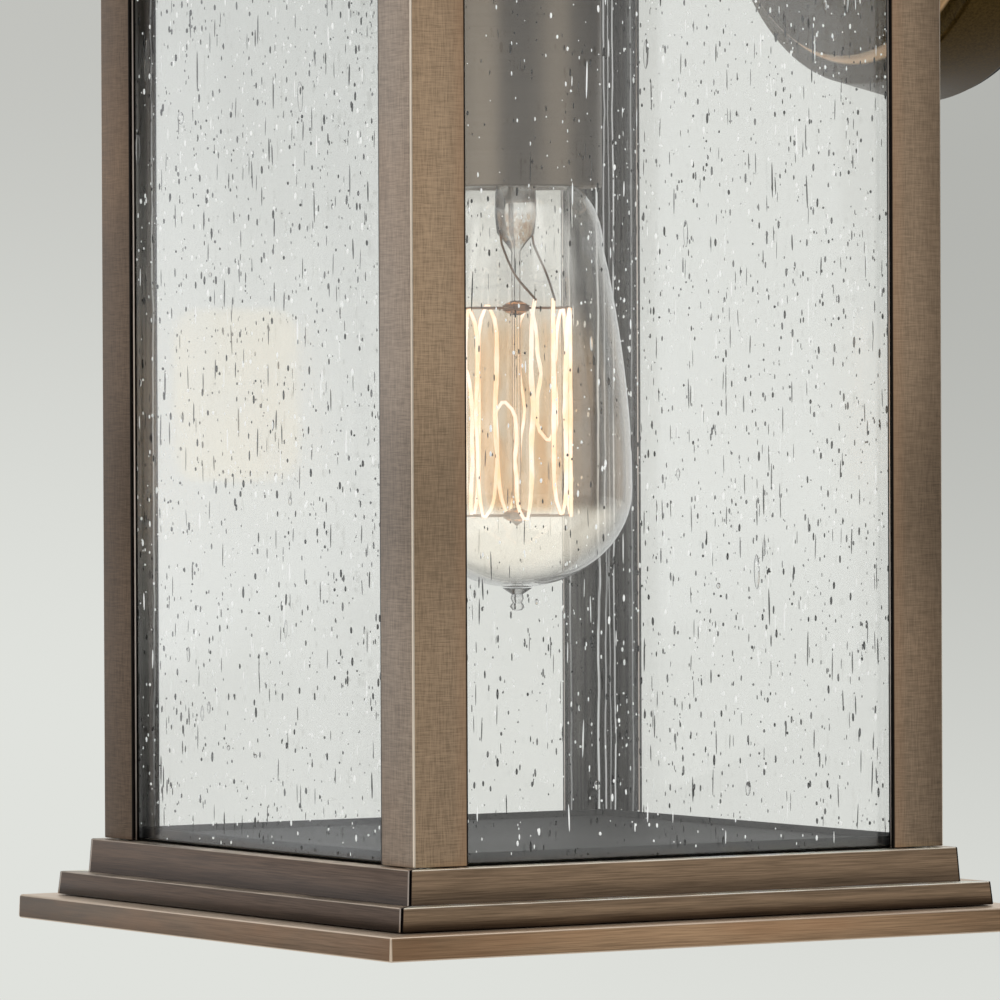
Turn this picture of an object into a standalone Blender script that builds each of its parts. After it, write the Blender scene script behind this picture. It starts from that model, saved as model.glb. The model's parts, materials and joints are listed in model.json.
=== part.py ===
"""Outdoor wall lantern: a four-pane lantern on a short arm from a round wall canopy, with a lift-off roof
and a screw-in lamp. Metres, +Z up, +X to the right as one faces the wall, -Y away from the wall. The origin
is the centre of the canopy's back, on the wall."""

import math

import bmesh
import bpy
from mathutils import Matrix, Vector

# Clearances
GAP = 0.0003  # between pieces that touch
SLIDE = 0.0004  # round a piece that turns or slides

# Glazed body
FRAME_SIDE = 0.1678  # outside the corner posts
BODY_H = 0.2736  # from the base's top face to the underside of the frieze
POST_LEG = 0.0167
POST_T = 0.0021
POST_EDGE = 0.0004
GLASS_T = 0.003
SHEET = 0.0012  # brass sheet of mouldings, tray and roof

# Base
BASE_LEDGE = 0.0086  # base plate beyond the lower step
LOWER_LEDGE = 0.0064  # lower step beyond the upper step
UPPER_LEDGE = 0.0027  # upper step beyond the posts
BASE_T = 0.0066
LOWER_STEP_H = 0.0066
UPPER_STEP_H = 0.0092
DRAFT = 0.0006  # how far each step's face leans out
PLATE_DRAFT = 0.0002
PLATE_EDGE = 0.0004
SEAT_W = 0.0166  # width of a moulding's flat top
TRAY_RIM_H = 0.003

# Head
FRIEZE_MARGIN = 0.0005  # frieze above and below the arm's collar
EAVE_H = 0.0066
RETAINER_H = 0.008
RETAINER_T = 0.0017
FRIEZE_SEAT_W = 0.0126

# Roof
FASCIA_H = 0.006
ROOF_RISE = 0.046
ROOF_TOP_HALF = 0.024
ROOF_HOLE_HALF = 0.014
CAP_HALF = 0.0275
CAP_H = 0.006
FINIAL_R = 0.0125
FINIAL_H = 0.034
FINIAL_NECK = 0.45  # share of the ball's radius
FINIAL_WAIST = 0.8
FINIAL_FOOT_H = 0.003
FINIAL_WAIST_H = 0.006
FINIAL_NECK_H = 0.010
BALL_STEPS = 9
BALL_TURN = math.radians(153)  # from the ball's top round to its neck

# Wall canopy and arm
STAND_OFF = 0.0566  # wall to the back of the posts
CANOPY_R = 0.0795
CANOPY_TAPER = 0.0045  # how far the side leans in
CANOPY_STEP_W = 0.009  # cove between the side and the raised face
CANOPY_STEP_H = 0.005
CANOPY_DEPTH = 0.030
CANOPY_LIP = 0.0012  # small rounding at the cove's two edges
CANOPY_COVE_H = 0.0014
CANOPY_FACE_H = 0.0022
CANOPY_SHEET = 0.0015
GASKET_T = 0.002
GASKET_W = 0.006
GASKET_INSET = 0.001
ARM_R = 0.008
ARM_WALL = 0.0015
ARM_IN = 0.007  # arm end inside the canopy and inside the frieze
COLLAR_T = 0.005
COLLAR_FLANGE = 0.008  # collar beyond the arm
COLLAR_NECK = 0.003
COLLAR_FOOT_H = 0.002
FRAME_COLLAR_T = 0.003
FRAME_COLLAR_FLANGE = 0.0035
ARM_NUT_WALL = 0.0012
ARM_NUT_T = 0.005
BAR_L = 0.110
BAR_W = 0.022
BAR_T = 0.0025
STUD_SPACING = 0.0889
STUD_R = 0.002
CAP_NUT_R = 0.007
CAP_NUT_H = 0.011
CAP_NUT_DOME = 0.75  # share of the nut's radius
CAP_NUT_SKIRT = 0.003
STUD_IN_NUT = 0.7  # share of the nut's height
BOX_SCREW_SPACING = 0.054
BOX_SCREW_R = 0.002
BOX_HEAD_R = 0.004
BOX_HEAD_H = 0.0024
BOX_HEAD_TOP = 0.7  # share of the head's radius
BOX_HEAD_RIM = 0.4  # share of the head's height
GROUND_SCREW_X = 0.012

# Lamp holder, hung from the head
PIPE_R = 0.0048
PIPE_BORE_R = 0.003
PIPE_NUT_FLATS = 0.015
PIPE_NUT_T = 0.004
STRAP_W = 0.018
STRAP_T = 0.0025
WIRE_R = 0.0012
LANE_GAP = 0.0012  # between a wire and the tube's centre line
WIRE_HOLE_R = 0.0042
WIRE_HOLE_X = 0.011  # from the pipe's centre line to the wires beside it
COVER_R = 0.02375
COVER_L = 0.072
COVER_HANG = 0.0216  # cover's top below the frieze
COVER_EDGE = 0.001
HOLDER_ROOM = 0.00305  # between the holder and the cover
HOLDER_HANG = 0.0104  # holder's top below the cover's top
HOLDER_L = 0.054
HOLDER_BORE_L = 0.036
SHELL_ROOM = 0.0006  # between the lamp's cap and the screw shell
SHELL_WALL = 0.0005
SHELL_L = 0.024
SHELL_HANG = 0.006  # screw shell's top below the top of the bore
TONGUE_T = 0.0013
TERMINAL_HALF = 0.006  # half the space between the two terminals
TERMINAL_DEPTH = 0.010
PIPE_IN = 0.008  # pipe inside the holder
PIPE_OVER = 0.012  # pipe above the roof cap

# Lamp
CAP_R = 0.0131
CAP_THREAD = 0.0008
CAP_PITCH = 0.00363
CAP_TURNS = 5
CAP_L = 0.0225
CAP_WALL = 0.0005
CAP_SHOULDER = 0.001
CAP_SKIRT = 0.002
INSULATOR_H = 0.0053
CONTACT_R = 0.004
CONTACT_H = 0.0022
BULB_WALL = 0.0008
NECK_ROOM = 0.0004  # between the bulb's neck and its cap
NECK_IN = 0.002  # neck inside the cap
BULB_SHOULDER_R = 0.0242
BULB_R = 0.0318
BULB_NECK_L = 0.011
BULB_SHOULDER_L = 0.0191
BULB_CONE_L = 0.0655
BULB_DOME_L = 0.0273
BULB_TIP_L = 0.0064
BULB_TIP_R = 0.0026
STEM_R = 0.0045
STEM_IN = 0.004  # stem's flare inside the cap
STEM_FLARE = 1.5
STEM_FLARE_L = 0.008
PRESS_L = 0.003
ROD_R = 0.0012
ROD_END = 0.003  # rod below the lower button
BUTTON_R = 0.0026
BUTTON_H = 0.0008  # half the button's flat side
BUTTON_LEAN = 0.0007
PRESS_DROP = 0.0265  # press seal's lower edge below the lamp's cap
CAGE_TOP_DROP = 0.044  # upper support below the lamp's cap
CAGE_L = 0.0571
CAGE_R = 0.0156
SUPPORT_WIRE_R = 0.00035
FILAMENT_R = 0.0003
LEGS = 16  # upright runs of the filament
BEND_RISE = 0.001  # filament's bends beyond the supports
HUB_WALL = 0.0008

# Places inside one piece or along a wire
WIRE_STEP = 5  # spacing of a wire's points, in wire radii
TERMINAL_UP = 0.001
LEAD_CROSSING = 0.006  # how far the live lead rises over the neutral one

# Sizes that fit other sizes
CANOPY_EDGE_R = CANOPY_R - CANOPY_TAPER
CANOPY_FACE_R = CANOPY_EDGE_R - CANOPY_STEP_W
CANOPY_SIDE = CANOPY_DEPTH - CANOPY_STEP_H
COLLAR_R = ARM_R + COLLAR_FLANGE
FRAME_COLLAR_R = ARM_R + FRAME_COLLAR_FLANGE
ARM_NUT_FLATS = 2 * (ARM_R + GAP + ARM_NUT_WALL)
FRIEZE_H = 2 * (FRAME_COLLAR_R + FRIEZE_MARGIN)
HOLDER_R = COVER_R - SHEET - HOLDER_ROOM
HOLDER_BORE_R = CAP_R + SHELL_ROOM + SHELL_WALL + GAP
BULB_NECK_R = CAP_R - CAP_THREAD - CAP_WALL - NECK_ROOM

# Levels and places that follow from the sizes above
HALF = FRAME_SIDE / 2
CENTRE_Y = -(STAND_OFF + HALF)  # the lantern's upright centre line
HEAD_Z = -FRIEZE_H / 2
FRIEZE_TOP_Z = FRIEZE_H / 2
EAVE_TOP_Z = FRIEZE_TOP_Z + EAVE_H
DECK_Z = HEAD_Z - BODY_H
STEP_Z = DECK_Z - UPPER_STEP_H
PLATE_Z = STEP_Z - LOWER_STEP_H
FOOT_Z = PLATE_Z - BASE_T
UPPER_HALF = HALF + UPPER_LEDGE
LOWER_HALF = UPPER_HALF + LOWER_LEDGE
BASE_HALF = LOWER_HALF + BASE_LEDGE
EAVE_HALF = LOWER_HALF
GLASS_OUT = HALF - POST_T - GAP  # outer face of each pane
GLASS_IN = GLASS_OUT - GLASS_T
TRAY_HALF = GLASS_IN - GAP
ROOF_Z = EAVE_TOP_Z + GAP
ROOF_HALF = EAVE_HALF + DRAFT
ROOF_TOP_Z = ROOF_Z + FASCIA_H + ROOF_RISE
CAP_TOP_Z = ROOF_TOP_Z + GAP + CAP_H
PIPE_TOP_Z = CAP_TOP_Z + PIPE_OVER
STRAP_Z = HEAD_Z + SHEET + GAP
COVER_TOP_Z = HEAD_Z - COVER_HANG
COVER_MOUTH_Z = COVER_TOP_Z - COVER_L
HOLDER_TOP_Z = COVER_TOP_Z - HOLDER_HANG
HOLDER_MOUTH_Z = HOLDER_TOP_Z - HOLDER_L
BORE_TOP_Z = HOLDER_MOUTH_Z + HOLDER_BORE_L
TONGUE_Z = BORE_TOP_Z - GAP - TONGUE_T
CONTACT_TOP_Z = TONGUE_Z - GAP
CONTACT_Z = CONTACT_TOP_Z - CONTACT_H
LAMP_CAP_TOP_Z = CONTACT_Z - GAP - INSULATOR_H - GAP
LAMP_CAP_Z = LAMP_CAP_TOP_Z - CAP_L
PRESS_Z = LAMP_CAP_Z - PRESS_DROP
CAGE_TOP_Z = LAMP_CAP_Z - CAGE_TOP_DROP
CAGE_LOW_Z = CAGE_TOP_Z - CAGE_L
FRIEZE_BACK_Y = CENTRE_Y + UPPER_HALF

SMALL_SIDES = 16  # sides of a small round piece
DOME_STEPS = 4

LANTERN = "outdoor_wall_lantern"
CUTTERS = "cutters"
UP = (0, 0, 0)
OUT = (math.pi / 2, 0, 0)  # turns a piece's own +Z to point away from the wall


# Scene, materials and objects


def clear_scene():
    for obj in list(bpy.data.objects):
        bpy.data.objects.remove(obj, do_unlink=True)


def collection(name):
    found = bpy.data.collections.get(name)
    if not found:
        found = bpy.data.collections.new(name)
        bpy.context.scene.collection.children.link(found)
    return found


FINISHES = {
    "bronze": ((0.30, 0.21, 0.13), 0.42, 1.0),
    "dark_bronze": ((0.10, 0.085, 0.06), 0.5, 1.0),
    "brass": ((0.62, 0.45, 0.20), 0.35, 1.0),
    "steel": ((0.55, 0.55, 0.56), 0.35, 1.0),
    "glass": ((0.92, 0.95, 0.94), 0.05, 0.0),
    "ceramic": ((0.85, 0.84, 0.80), 0.4, 0.0),
    "rubber": ((0.03, 0.03, 0.03), 0.8, 0.0),
    "black_insulator": ((0.02, 0.02, 0.02), 0.3, 0.0),
    "filament": ((1.0, 0.62, 0.25), 0.4, 0.0),
    "wire_black": ((0.02, 0.02, 0.02), 0.5, 0.0),
    "wire_white": ((0.80, 0.80, 0.78), 0.5, 0.0),
    "copper": ((0.70, 0.33, 0.17), 0.35, 1.0),
}


def material(name, finish):
    colour, roughness, metallic = FINISHES[finish]
    made = bpy.data.materials.new(name)
    made.use_nodes = True
    shader = made.node_tree.nodes["Principled BSDF"]
    shader.inputs["Base Color"].default_value = (*colour, 1)
    shader.inputs["Roughness"].default_value = roughness
    shader.inputs["Metallic"].default_value = metallic
    return made


def add_object(name, mesh, finish, location=(0, 0, 0), rotation=UP):
    obj = bpy.data.objects.new(name, mesh)
    obj.location = location
    obj.rotation_euler = rotation
    if finish:
        collection(LANTERN).objects.link(obj)
        mesh.materials.append(material(name, finish))
    else:
        collection(CUTTERS).objects.link(obj)
        obj.hide_render = True
        obj.display_type = "WIRE"
    return obj


def mesh_from(bm, name):
    bmesh.ops.recalc_face_normals(bm, faces=bm.faces)
    mesh = bpy.data.meshes.new(name)
    bm.to_mesh(mesh)
    bm.free()
    return mesh


# Shapes


def box(name, low, high, finish, edge=0.0):
    """A box between two corners, with its edges rounded off when edge is given."""
    low, high = Vector(low), Vector(high)
    bm = bmesh.new()
    bmesh.ops.create_cube(bm, size=1)
    bmesh.ops.transform(bm, matrix=Matrix.Diagonal((*(high - low), 1)), verts=bm.verts)
    obj = add_object(name, mesh_from(bm, name), finish, (low + high) / 2)
    if edge:
        bevel = obj.modifiers.new("edge", "BEVEL")
        bevel.width = edge
        bevel.segments = 1
    return obj


def turned(name, profile, finish, location=(0, 0, 0), rotation=UP, steps=32):
    """Turns (radius, height) points about the object's own Z; the outer side runs from top to bottom. A
    profile that starts and ends away from the axis is closed into a loop."""
    mesh = bpy.data.meshes.new(name)
    count = len(profile)
    edges = [(i, i + 1) for i in range(count - 1)]
    if profile[0][0] > 0 or profile[-1][0] > 0:
        edges.append((count - 1, 0))
    mesh.from_pydata([(r, 0, z) for r, z in profile], edges, [])
    obj = add_object(name, mesh, finish, location, rotation)
    screw = obj.modifiers.new("turn", "SCREW")
    screw.steps = screw.render_steps = steps
    screw.use_merge_vertices = True
    screw.merge_threshold = 0.00001
    screw.use_smooth_shade = False
    return obj


def square_turned(name, profile, finish):
    """A square, mitred shell about the lantern's centre line, from (half width, height) points."""
    corners = [(half * math.sqrt(2), z) for half, z in profile]
    return turned(name, corners, finish, (0, CENTRE_Y, 0), (0, 0, math.pi / 4), steps=4)


def disc(name, radius, low, high, finish, location=(0, 0, 0), rotation=UP, sides=32):
    bm = bmesh.new()
    bmesh.ops.create_cone(
        bm,
        cap_ends=True,
        segments=sides,
        radius1=radius,
        radius2=radius,
        depth=high - low,
        matrix=Matrix.Translation((0, 0, (low + high) / 2)),
    )
    return add_object(name, mesh_from(bm, name), finish, location, rotation)


def cut(obj, cutter, operation="DIFFERENCE"):
    boolean = obj.modifiers.new(cutter.name, "BOOLEAN")
    boolean.operation = operation
    boolean.object = cutter
    return obj


def ring(name, inner, outer, low, high, finish, location=(0, 0, 0), rotation=UP):
    profile = [(inner, high), (outer, high), (outer, low), (inner, low)]
    return turned(name, profile, finish, location, rotation)


def nut(name, flats, bore, low, high, finish, location=(0, 0, 0), rotation=UP):
    """A hexagon nut with two flats square to its own Y axis."""
    turn = Matrix.Rotation(math.pi / 6, 4, "Z")
    obj = disc(name, flats / math.sqrt(3), low, high, finish, location, rotation, sides=6)
    obj.data.transform(turn)
    hole = disc(name + "_bore", bore, low - GAP, high + GAP, None, location, rotation, sides=24)
    return cut(obj, hole)


def smooth_route(points, spacing):
    """Points about every spacing along a Catmull-Rom curve through the route's own points."""
    ends = [points[0] * 2 - points[1], *points, points[-1] * 2 - points[-2]]
    route = [points[0]]
    for before, start, end, after in zip(ends, ends[1:], ends[2:], ends[3:]):
        pieces = max(1, round((end - start).length / spacing))
        for i in range(1, pieces + 1):
            t = i / pieces
            route.append(
                (
                    start * 2
                    + (end - before) * t
                    + (before * 2 - start * 5 + end * 4 - after) * t**2
                    + (start * 3 - before - end * 3 + after) * t**3
                )
                / 2
            )
    return route


def wire(name, points, radius, finish, location=(0, 0, 0), resolution=2):
    curve = bpy.data.curves.new(name, "CURVE")
    curve.dimensions = "3D"
    curve.bevel_depth = radius
    curve.bevel_resolution = resolution
    curve.use_fill_caps = True
    spline = curve.splines.new("POLY")
    spline.points.add(len(points) - 1)
    for point, place in zip(spline.points, points):
        point.co = (*place, 1)
    obj = bpy.data.objects.new(name, curve)
    obj.location = location
    collection(LANTERN).objects.link(obj)
    curve.materials.append(material(name, finish))
    return obj


def around_centre(turn):
    return Matrix.Translation((0, CENTRE_Y, 0)) @ Matrix.Rotation(turn, 4, "Z")


SIDES = {"front": 0, "right": math.pi / 2, "back": math.pi, "left": -math.pi / 2}


def mitred_length(name, profile, side, finish):
    """One straight length of a moulding, cut at 45 degrees to meet its neighbours. The profile's points are
    (distance out from the centre line, height)."""
    bm = bmesh.new()
    outline = [bm.verts.new((0, -out, z)) for out, z in profile]
    face = bm.faces.new(outline)
    extruded = bmesh.ops.extrude_face_region(bm, geom=[face])["geom"]
    right_end = {v for v in extruded if isinstance(v, bmesh.types.BMVert)}
    for vert in bm.verts:
        reach = -vert.co.y - GAP / 2
        vert.co.x = reach if vert in right_end else -reach
    bmesh.ops.transform(bm, matrix=around_centre(SIDES[side]), verts=bm.verts)
    return add_object(name, mesh_from(bm, name), finish)


# The base


def add_base():
    plate = [
        (0, PLATE_Z),
        (BASE_HALF - PLATE_DRAFT - PLATE_EDGE, PLATE_Z),
        (BASE_HALF - PLATE_DRAFT, PLATE_Z - PLATE_EDGE),
        (BASE_HALF, FOOT_Z + PLATE_EDGE),
        (BASE_HALF - PLATE_EDGE, FOOT_Z),
        (0, FOOT_Z),
    ]
    square_turned("base_plate", plate, "bronze")
    low = PLATE_Z + GAP
    seat_edge = UPPER_HALF - SEAT_W
    steps = [
        (seat_edge, DECK_Z),
        (UPPER_HALF, DECK_Z),
        (UPPER_HALF + DRAFT, STEP_Z),
        (LOWER_HALF, STEP_Z),
        (LOWER_HALF + DRAFT, low),
        (LOWER_HALF + DRAFT - SHEET, low),
        (LOWER_HALF - SHEET, STEP_Z - SHEET),
        (UPPER_HALF + DRAFT - SHEET, STEP_Z - SHEET),
        (UPPER_HALF - SHEET, DECK_Z - SHEET),
        (seat_edge, DECK_Z - SHEET),
    ]
    for side in SIDES:
        mitred_length(f"base_moulding_{side}", steps, side, "bronze")
    floor = DECK_Z + GAP
    tray = [
        (TRAY_HALF - SHEET, floor + TRAY_RIM_H),
        (TRAY_HALF, floor + TRAY_RIM_H),
        (TRAY_HALF, floor),
        (0, floor),
    ]
    inside = [(0, floor + SHEET), (TRAY_HALF - SHEET, floor + SHEET)]
    square_turned("floor_tray", inside + tray, "dark_bronze")


# Posts and glass


def add_posts():
    low, high = DECK_Z + GAP, HEAD_Z - GAP
    corners = {
        "front_right": 0,
        "back_right": math.pi / 2,
        "back_left": math.pi,
        "front_left": -math.pi / 2,
    }
    inner = HALF - POST_LEG
    outline = [
        (inner, -HALF),
        (HALF - POST_EDGE, -HALF),
        (HALF, -HALF + POST_EDGE),
        (HALF, -inner),
        (HALF - POST_T, -inner),
        (HALF - POST_T, -HALF + POST_T),
        (inner, -HALF + POST_T),
    ]
    for corner, turn in corners.items():
        name = f"post_{corner}"
        bm = bmesh.new()
        face = bm.faces.new([bm.verts.new((x, y, low)) for x, y in outline])
        top = bmesh.ops.extrude_face_region(bm, geom=[face])["geom"]
        rise = [v for v in top if isinstance(v, bmesh.types.BMVert)]
        bmesh.ops.translate(bm, verts=rise, vec=(0, 0, high - low))
        bmesh.ops.transform(bm, matrix=around_centre(turn), verts=bm.verts)
        add_object(name, mesh_from(bm, name), "bronze")


def add_glass():
    low, high = DECK_Z + GAP, HEAD_Z - GAP
    reach = GLASS_IN - GAP
    for side, turn in SIDES.items():
        pane = box(f"glass_{side}", (-reach, -GLASS_OUT, low), (reach, -GLASS_IN, high), "glass")
        pane.data.transform(Matrix.Translation(pane.location))
        pane.location = (0, CENTRE_Y, 0)
        pane.rotation_euler = (0, 0, turn)
    retainer = [
        (TRAY_HALF - RETAINER_T, HEAD_Z - GAP),
        (TRAY_HALF, HEAD_Z - GAP),
        (TRAY_HALF, HEAD_Z - GAP - RETAINER_H),
        (TRAY_HALF - RETAINER_T, HEAD_Z - GAP - RETAINER_H),
    ]
    square_turned("glass_retainer", retainer, "dark_bronze")


# Frieze, roof and finial


def add_head():
    seat_edge = UPPER_HALF - FRIEZE_SEAT_W
    band = [
        (seat_edge, HEAD_Z + SHEET),
        (UPPER_HALF - SHEET, HEAD_Z + SHEET),
        (UPPER_HALF - SHEET, FRIEZE_TOP_Z + SHEET),
        (EAVE_HALF - SHEET, FRIEZE_TOP_Z + SHEET),
        (EAVE_HALF + DRAFT - SHEET, EAVE_TOP_Z),
        (EAVE_HALF + DRAFT, EAVE_TOP_Z),
        (EAVE_HALF, FRIEZE_TOP_Z),
        (UPPER_HALF, FRIEZE_TOP_Z),
        (UPPER_HALF, HEAD_Z),
        (seat_edge, HEAD_Z),
    ]
    for side in SIDES:
        length = mitred_length(f"frieze_{side}", band, side, "bronze")
        if side == "back":
            hole_low = -FRIEZE_BACK_Y - GAP
            hole_high = -FRIEZE_BACK_Y + SHEET + GAP
            cut(length, disc("frieze_hole", ARM_R + GAP, hole_low, hole_high, None, rotation=OUT))


def add_roof():
    slope_z = ROOF_Z + FASCIA_H
    roof = [
        (ROOF_HOLE_HALF, ROOF_TOP_Z),
        (ROOF_TOP_HALF, ROOF_TOP_Z),
        (ROOF_HALF, slope_z),
        (ROOF_HALF, ROOF_Z),
        (ROOF_HALF - SHEET, ROOF_Z),
        (ROOF_HALF - SHEET, slope_z - SHEET / 2),
        (ROOF_TOP_HALF - SHEET / 2, ROOF_TOP_Z - SHEET),
        (ROOF_HOLE_HALF, ROOF_TOP_Z - SHEET),
    ]
    square_turned("roof", roof, "bronze")
    low = ROOF_TOP_Z + GAP
    plug = ROOF_HOLE_HALF - GAP
    plug_z = ROOF_TOP_Z - SHEET
    cap = [
        (0, CAP_TOP_Z),
        (CAP_HALF - PLATE_EDGE, CAP_TOP_Z),
        (CAP_HALF, CAP_TOP_Z - PLATE_EDGE),
        (CAP_HALF, low),
        (plug, low),
        (plug, plug_z),
        (0, plug_z),
    ]
    plate = square_turned("roof_cap", cap, "bronze")
    bore = disc("roof_cap_bore", PIPE_R + SLIDE, plug_z - GAP, CAP_TOP_Z + GAP, None, (0, CENTRE_Y, 0))
    cut(plate, bore)


def add_finial():
    low = CAP_TOP_Z + GAP
    bore = PIPE_R + SLIDE
    bore_top = PIPE_TOP_Z + SLIDE
    neck = max(FINIAL_R * FINIAL_NECK, bore + SHEET)
    ball_z = low + FINIAL_H - FINIAL_R
    ball = []
    for step in range(BALL_STEPS):
        turn = step * BALL_TURN / BALL_STEPS
        ball.append((FINIAL_R * math.sin(turn), ball_z + FINIAL_R * math.cos(turn)))
    foot = [
        (neck, low + FINIAL_NECK_H),
        (FINIAL_R * FINIAL_WAIST, low + FINIAL_WAIST_H),
        (FINIAL_R, low + FINIAL_FOOT_H),
        (FINIAL_R, low),
        (bore, low),
        (bore, bore_top),
        (0, bore_top),
    ]
    turned("finial", ball + foot, "bronze", (0, CENTRE_Y, 0), steps=24)


# Arm and wall canopy


def add_arm():
    start = CANOPY_DEPTH - ARM_IN
    end = -FRIEZE_BACK_Y + SHEET + ARM_IN
    ring("arm_tube", ARM_R - ARM_WALL, ARM_R, start, end, "bronze", rotation=OUT)
    bore = ARM_R + GAP
    front = CANOPY_DEPTH + GAP
    collar = [
        (bore, front + COLLAR_T),
        (ARM_R + COLLAR_NECK, front + COLLAR_T),
        (COLLAR_R, front + COLLAR_FOOT_H),
        (COLLAR_R, front),
        (bore, front),
    ]
    turned("arm_collar_canopy", collar, "bronze", rotation=OUT)
    frame_face = -FRIEZE_BACK_Y - GAP
    back = frame_face - FRAME_COLLAR_T
    ring("arm_collar_frame", bore, FRAME_COLLAR_R, back, frame_face, "bronze", rotation=OUT)
    inside = CANOPY_DEPTH - CANOPY_SHEET - GAP
    nut("arm_nut_canopy", ARM_NUT_FLATS, bore, inside - ARM_NUT_T, inside, "steel", rotation=OUT)
    beyond = -FRIEZE_BACK_Y + SHEET + GAP
    nut("arm_nut_frame", ARM_NUT_FLATS, bore, beyond, beyond + ARM_NUT_T, "steel", rotation=OUT)


def add_canopy():
    rim = GASKET_T + GAP
    wall = CANOPY_SHEET
    bore = ARM_R + GAP
    shell = [
        (bore, CANOPY_DEPTH),
        (CANOPY_FACE_R, CANOPY_DEPTH),
        (CANOPY_FACE_R + CANOPY_LIP, CANOPY_DEPTH - CANOPY_FACE_H),
        ((CANOPY_FACE_R + CANOPY_EDGE_R) / 2, CANOPY_SIDE + CANOPY_COVE_H),
        (CANOPY_EDGE_R - CANOPY_LIP, CANOPY_SIDE),
        (CANOPY_EDGE_R, CANOPY_SIDE - CANOPY_LIP),
        (CANOPY_R, rim),
        (CANOPY_R - wall, rim),
        (CANOPY_EDGE_R - wall, CANOPY_SIDE - wall),
        (CANOPY_FACE_R - wall, CANOPY_SIDE - wall),
        (CANOPY_FACE_R - wall, CANOPY_DEPTH - wall),
        (bore, CANOPY_DEPTH - wall),
    ]
    canopy = turned("canopy", shell, "dark_bronze", rotation=OUT, steps=64)
    outer = CANOPY_R - GASKET_INSET
    ring("canopy_gasket", outer - GASKET_W, outer, 0, GASKET_T, "rubber", rotation=OUT)
    bar = box("crossbar", (-BAR_L / 2, -BAR_T, -BAR_W / 2), (BAR_L / 2, 0, BAR_W / 2), "steel")
    face_low = CANOPY_DEPTH - CANOPY_SHEET - GAP
    face_high = CANOPY_DEPTH + GAP
    tip = CANOPY_DEPTH + CAP_NUT_H * STUD_IN_NUT
    for side, name in ((-1, "left"), (1, "right")):
        place = (side * STUD_SPACING / 2, 0, 0)
        disc(f"canopy_stud_{name}", STUD_R, GAP, tip, "steel", place, OUT, sides=SMALL_SIDES)
        cut(canopy, round_cutter(f"canopy_hole_{name}", STUD_R + SLIDE, face_low, face_high, place))
        cut(bar, round_cutter(f"stud_hole_{name}", STUD_R + GAP, -GAP, BAR_T + GAP, place))
        add_cap_nut(f"cap_nut_{name}", place, tip)
        screw_place = (side * BOX_SCREW_SPACING / 2, 0, 0)
        add_pan_screw(f"box_screw_{name}", screw_place)
        cut(bar, round_cutter(f"box_hole_{name}", BOX_SCREW_R + GAP, -GAP, BAR_T + GAP, screw_place))
    ground_place = (GROUND_SCREW_X, 0, 0)
    add_pan_screw("ground_screw", ground_place)
    cut(bar, round_cutter("ground_hole", BOX_SCREW_R + GAP, -GAP, BAR_T + GAP, ground_place))


def round_cutter(name, radius, low, high, place):
    """A small round cutter that points away from the wall."""
    return disc(name, radius, low, high, None, place, OUT, sides=SMALL_SIDES)


def add_cap_nut(name, place, tip):
    low = CANOPY_DEPTH + GAP
    bore = STUD_R + SLIDE
    dome_r = CAP_NUT_R * CAP_NUT_DOME
    dome_z = low + CAP_NUT_H - dome_r
    dome = []
    for step in range(DOME_STEPS + 1):
        turn = step * math.pi / 2 / DOME_STEPS
        dome.append((dome_r * math.sin(turn), dome_z + dome_r * math.cos(turn)))
    skirt = [
        (CAP_NUT_R, low + CAP_NUT_SKIRT),
        (CAP_NUT_R, low),
        (bore, low),
        (bore, tip + SLIDE),
        (0, tip + SLIDE),
    ]
    turned(name, dome + skirt, "bronze", place, OUT, steps=24)


def add_pan_screw(name, place):
    head = BAR_T + GAP
    profile = [
        (0, head + BOX_HEAD_H),
        (BOX_HEAD_R * BOX_HEAD_TOP, head + BOX_HEAD_H),
        (BOX_HEAD_R, head + BOX_HEAD_H * BOX_HEAD_RIM),
        (BOX_HEAD_R, head),
        (BOX_SCREW_R, head),
        (BOX_SCREW_R, GAP),
        (0, GAP),
    ]
    turned(name, profile, "steel", place, OUT, steps=SMALL_SIDES)


# Lamp holder and wiring


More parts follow.
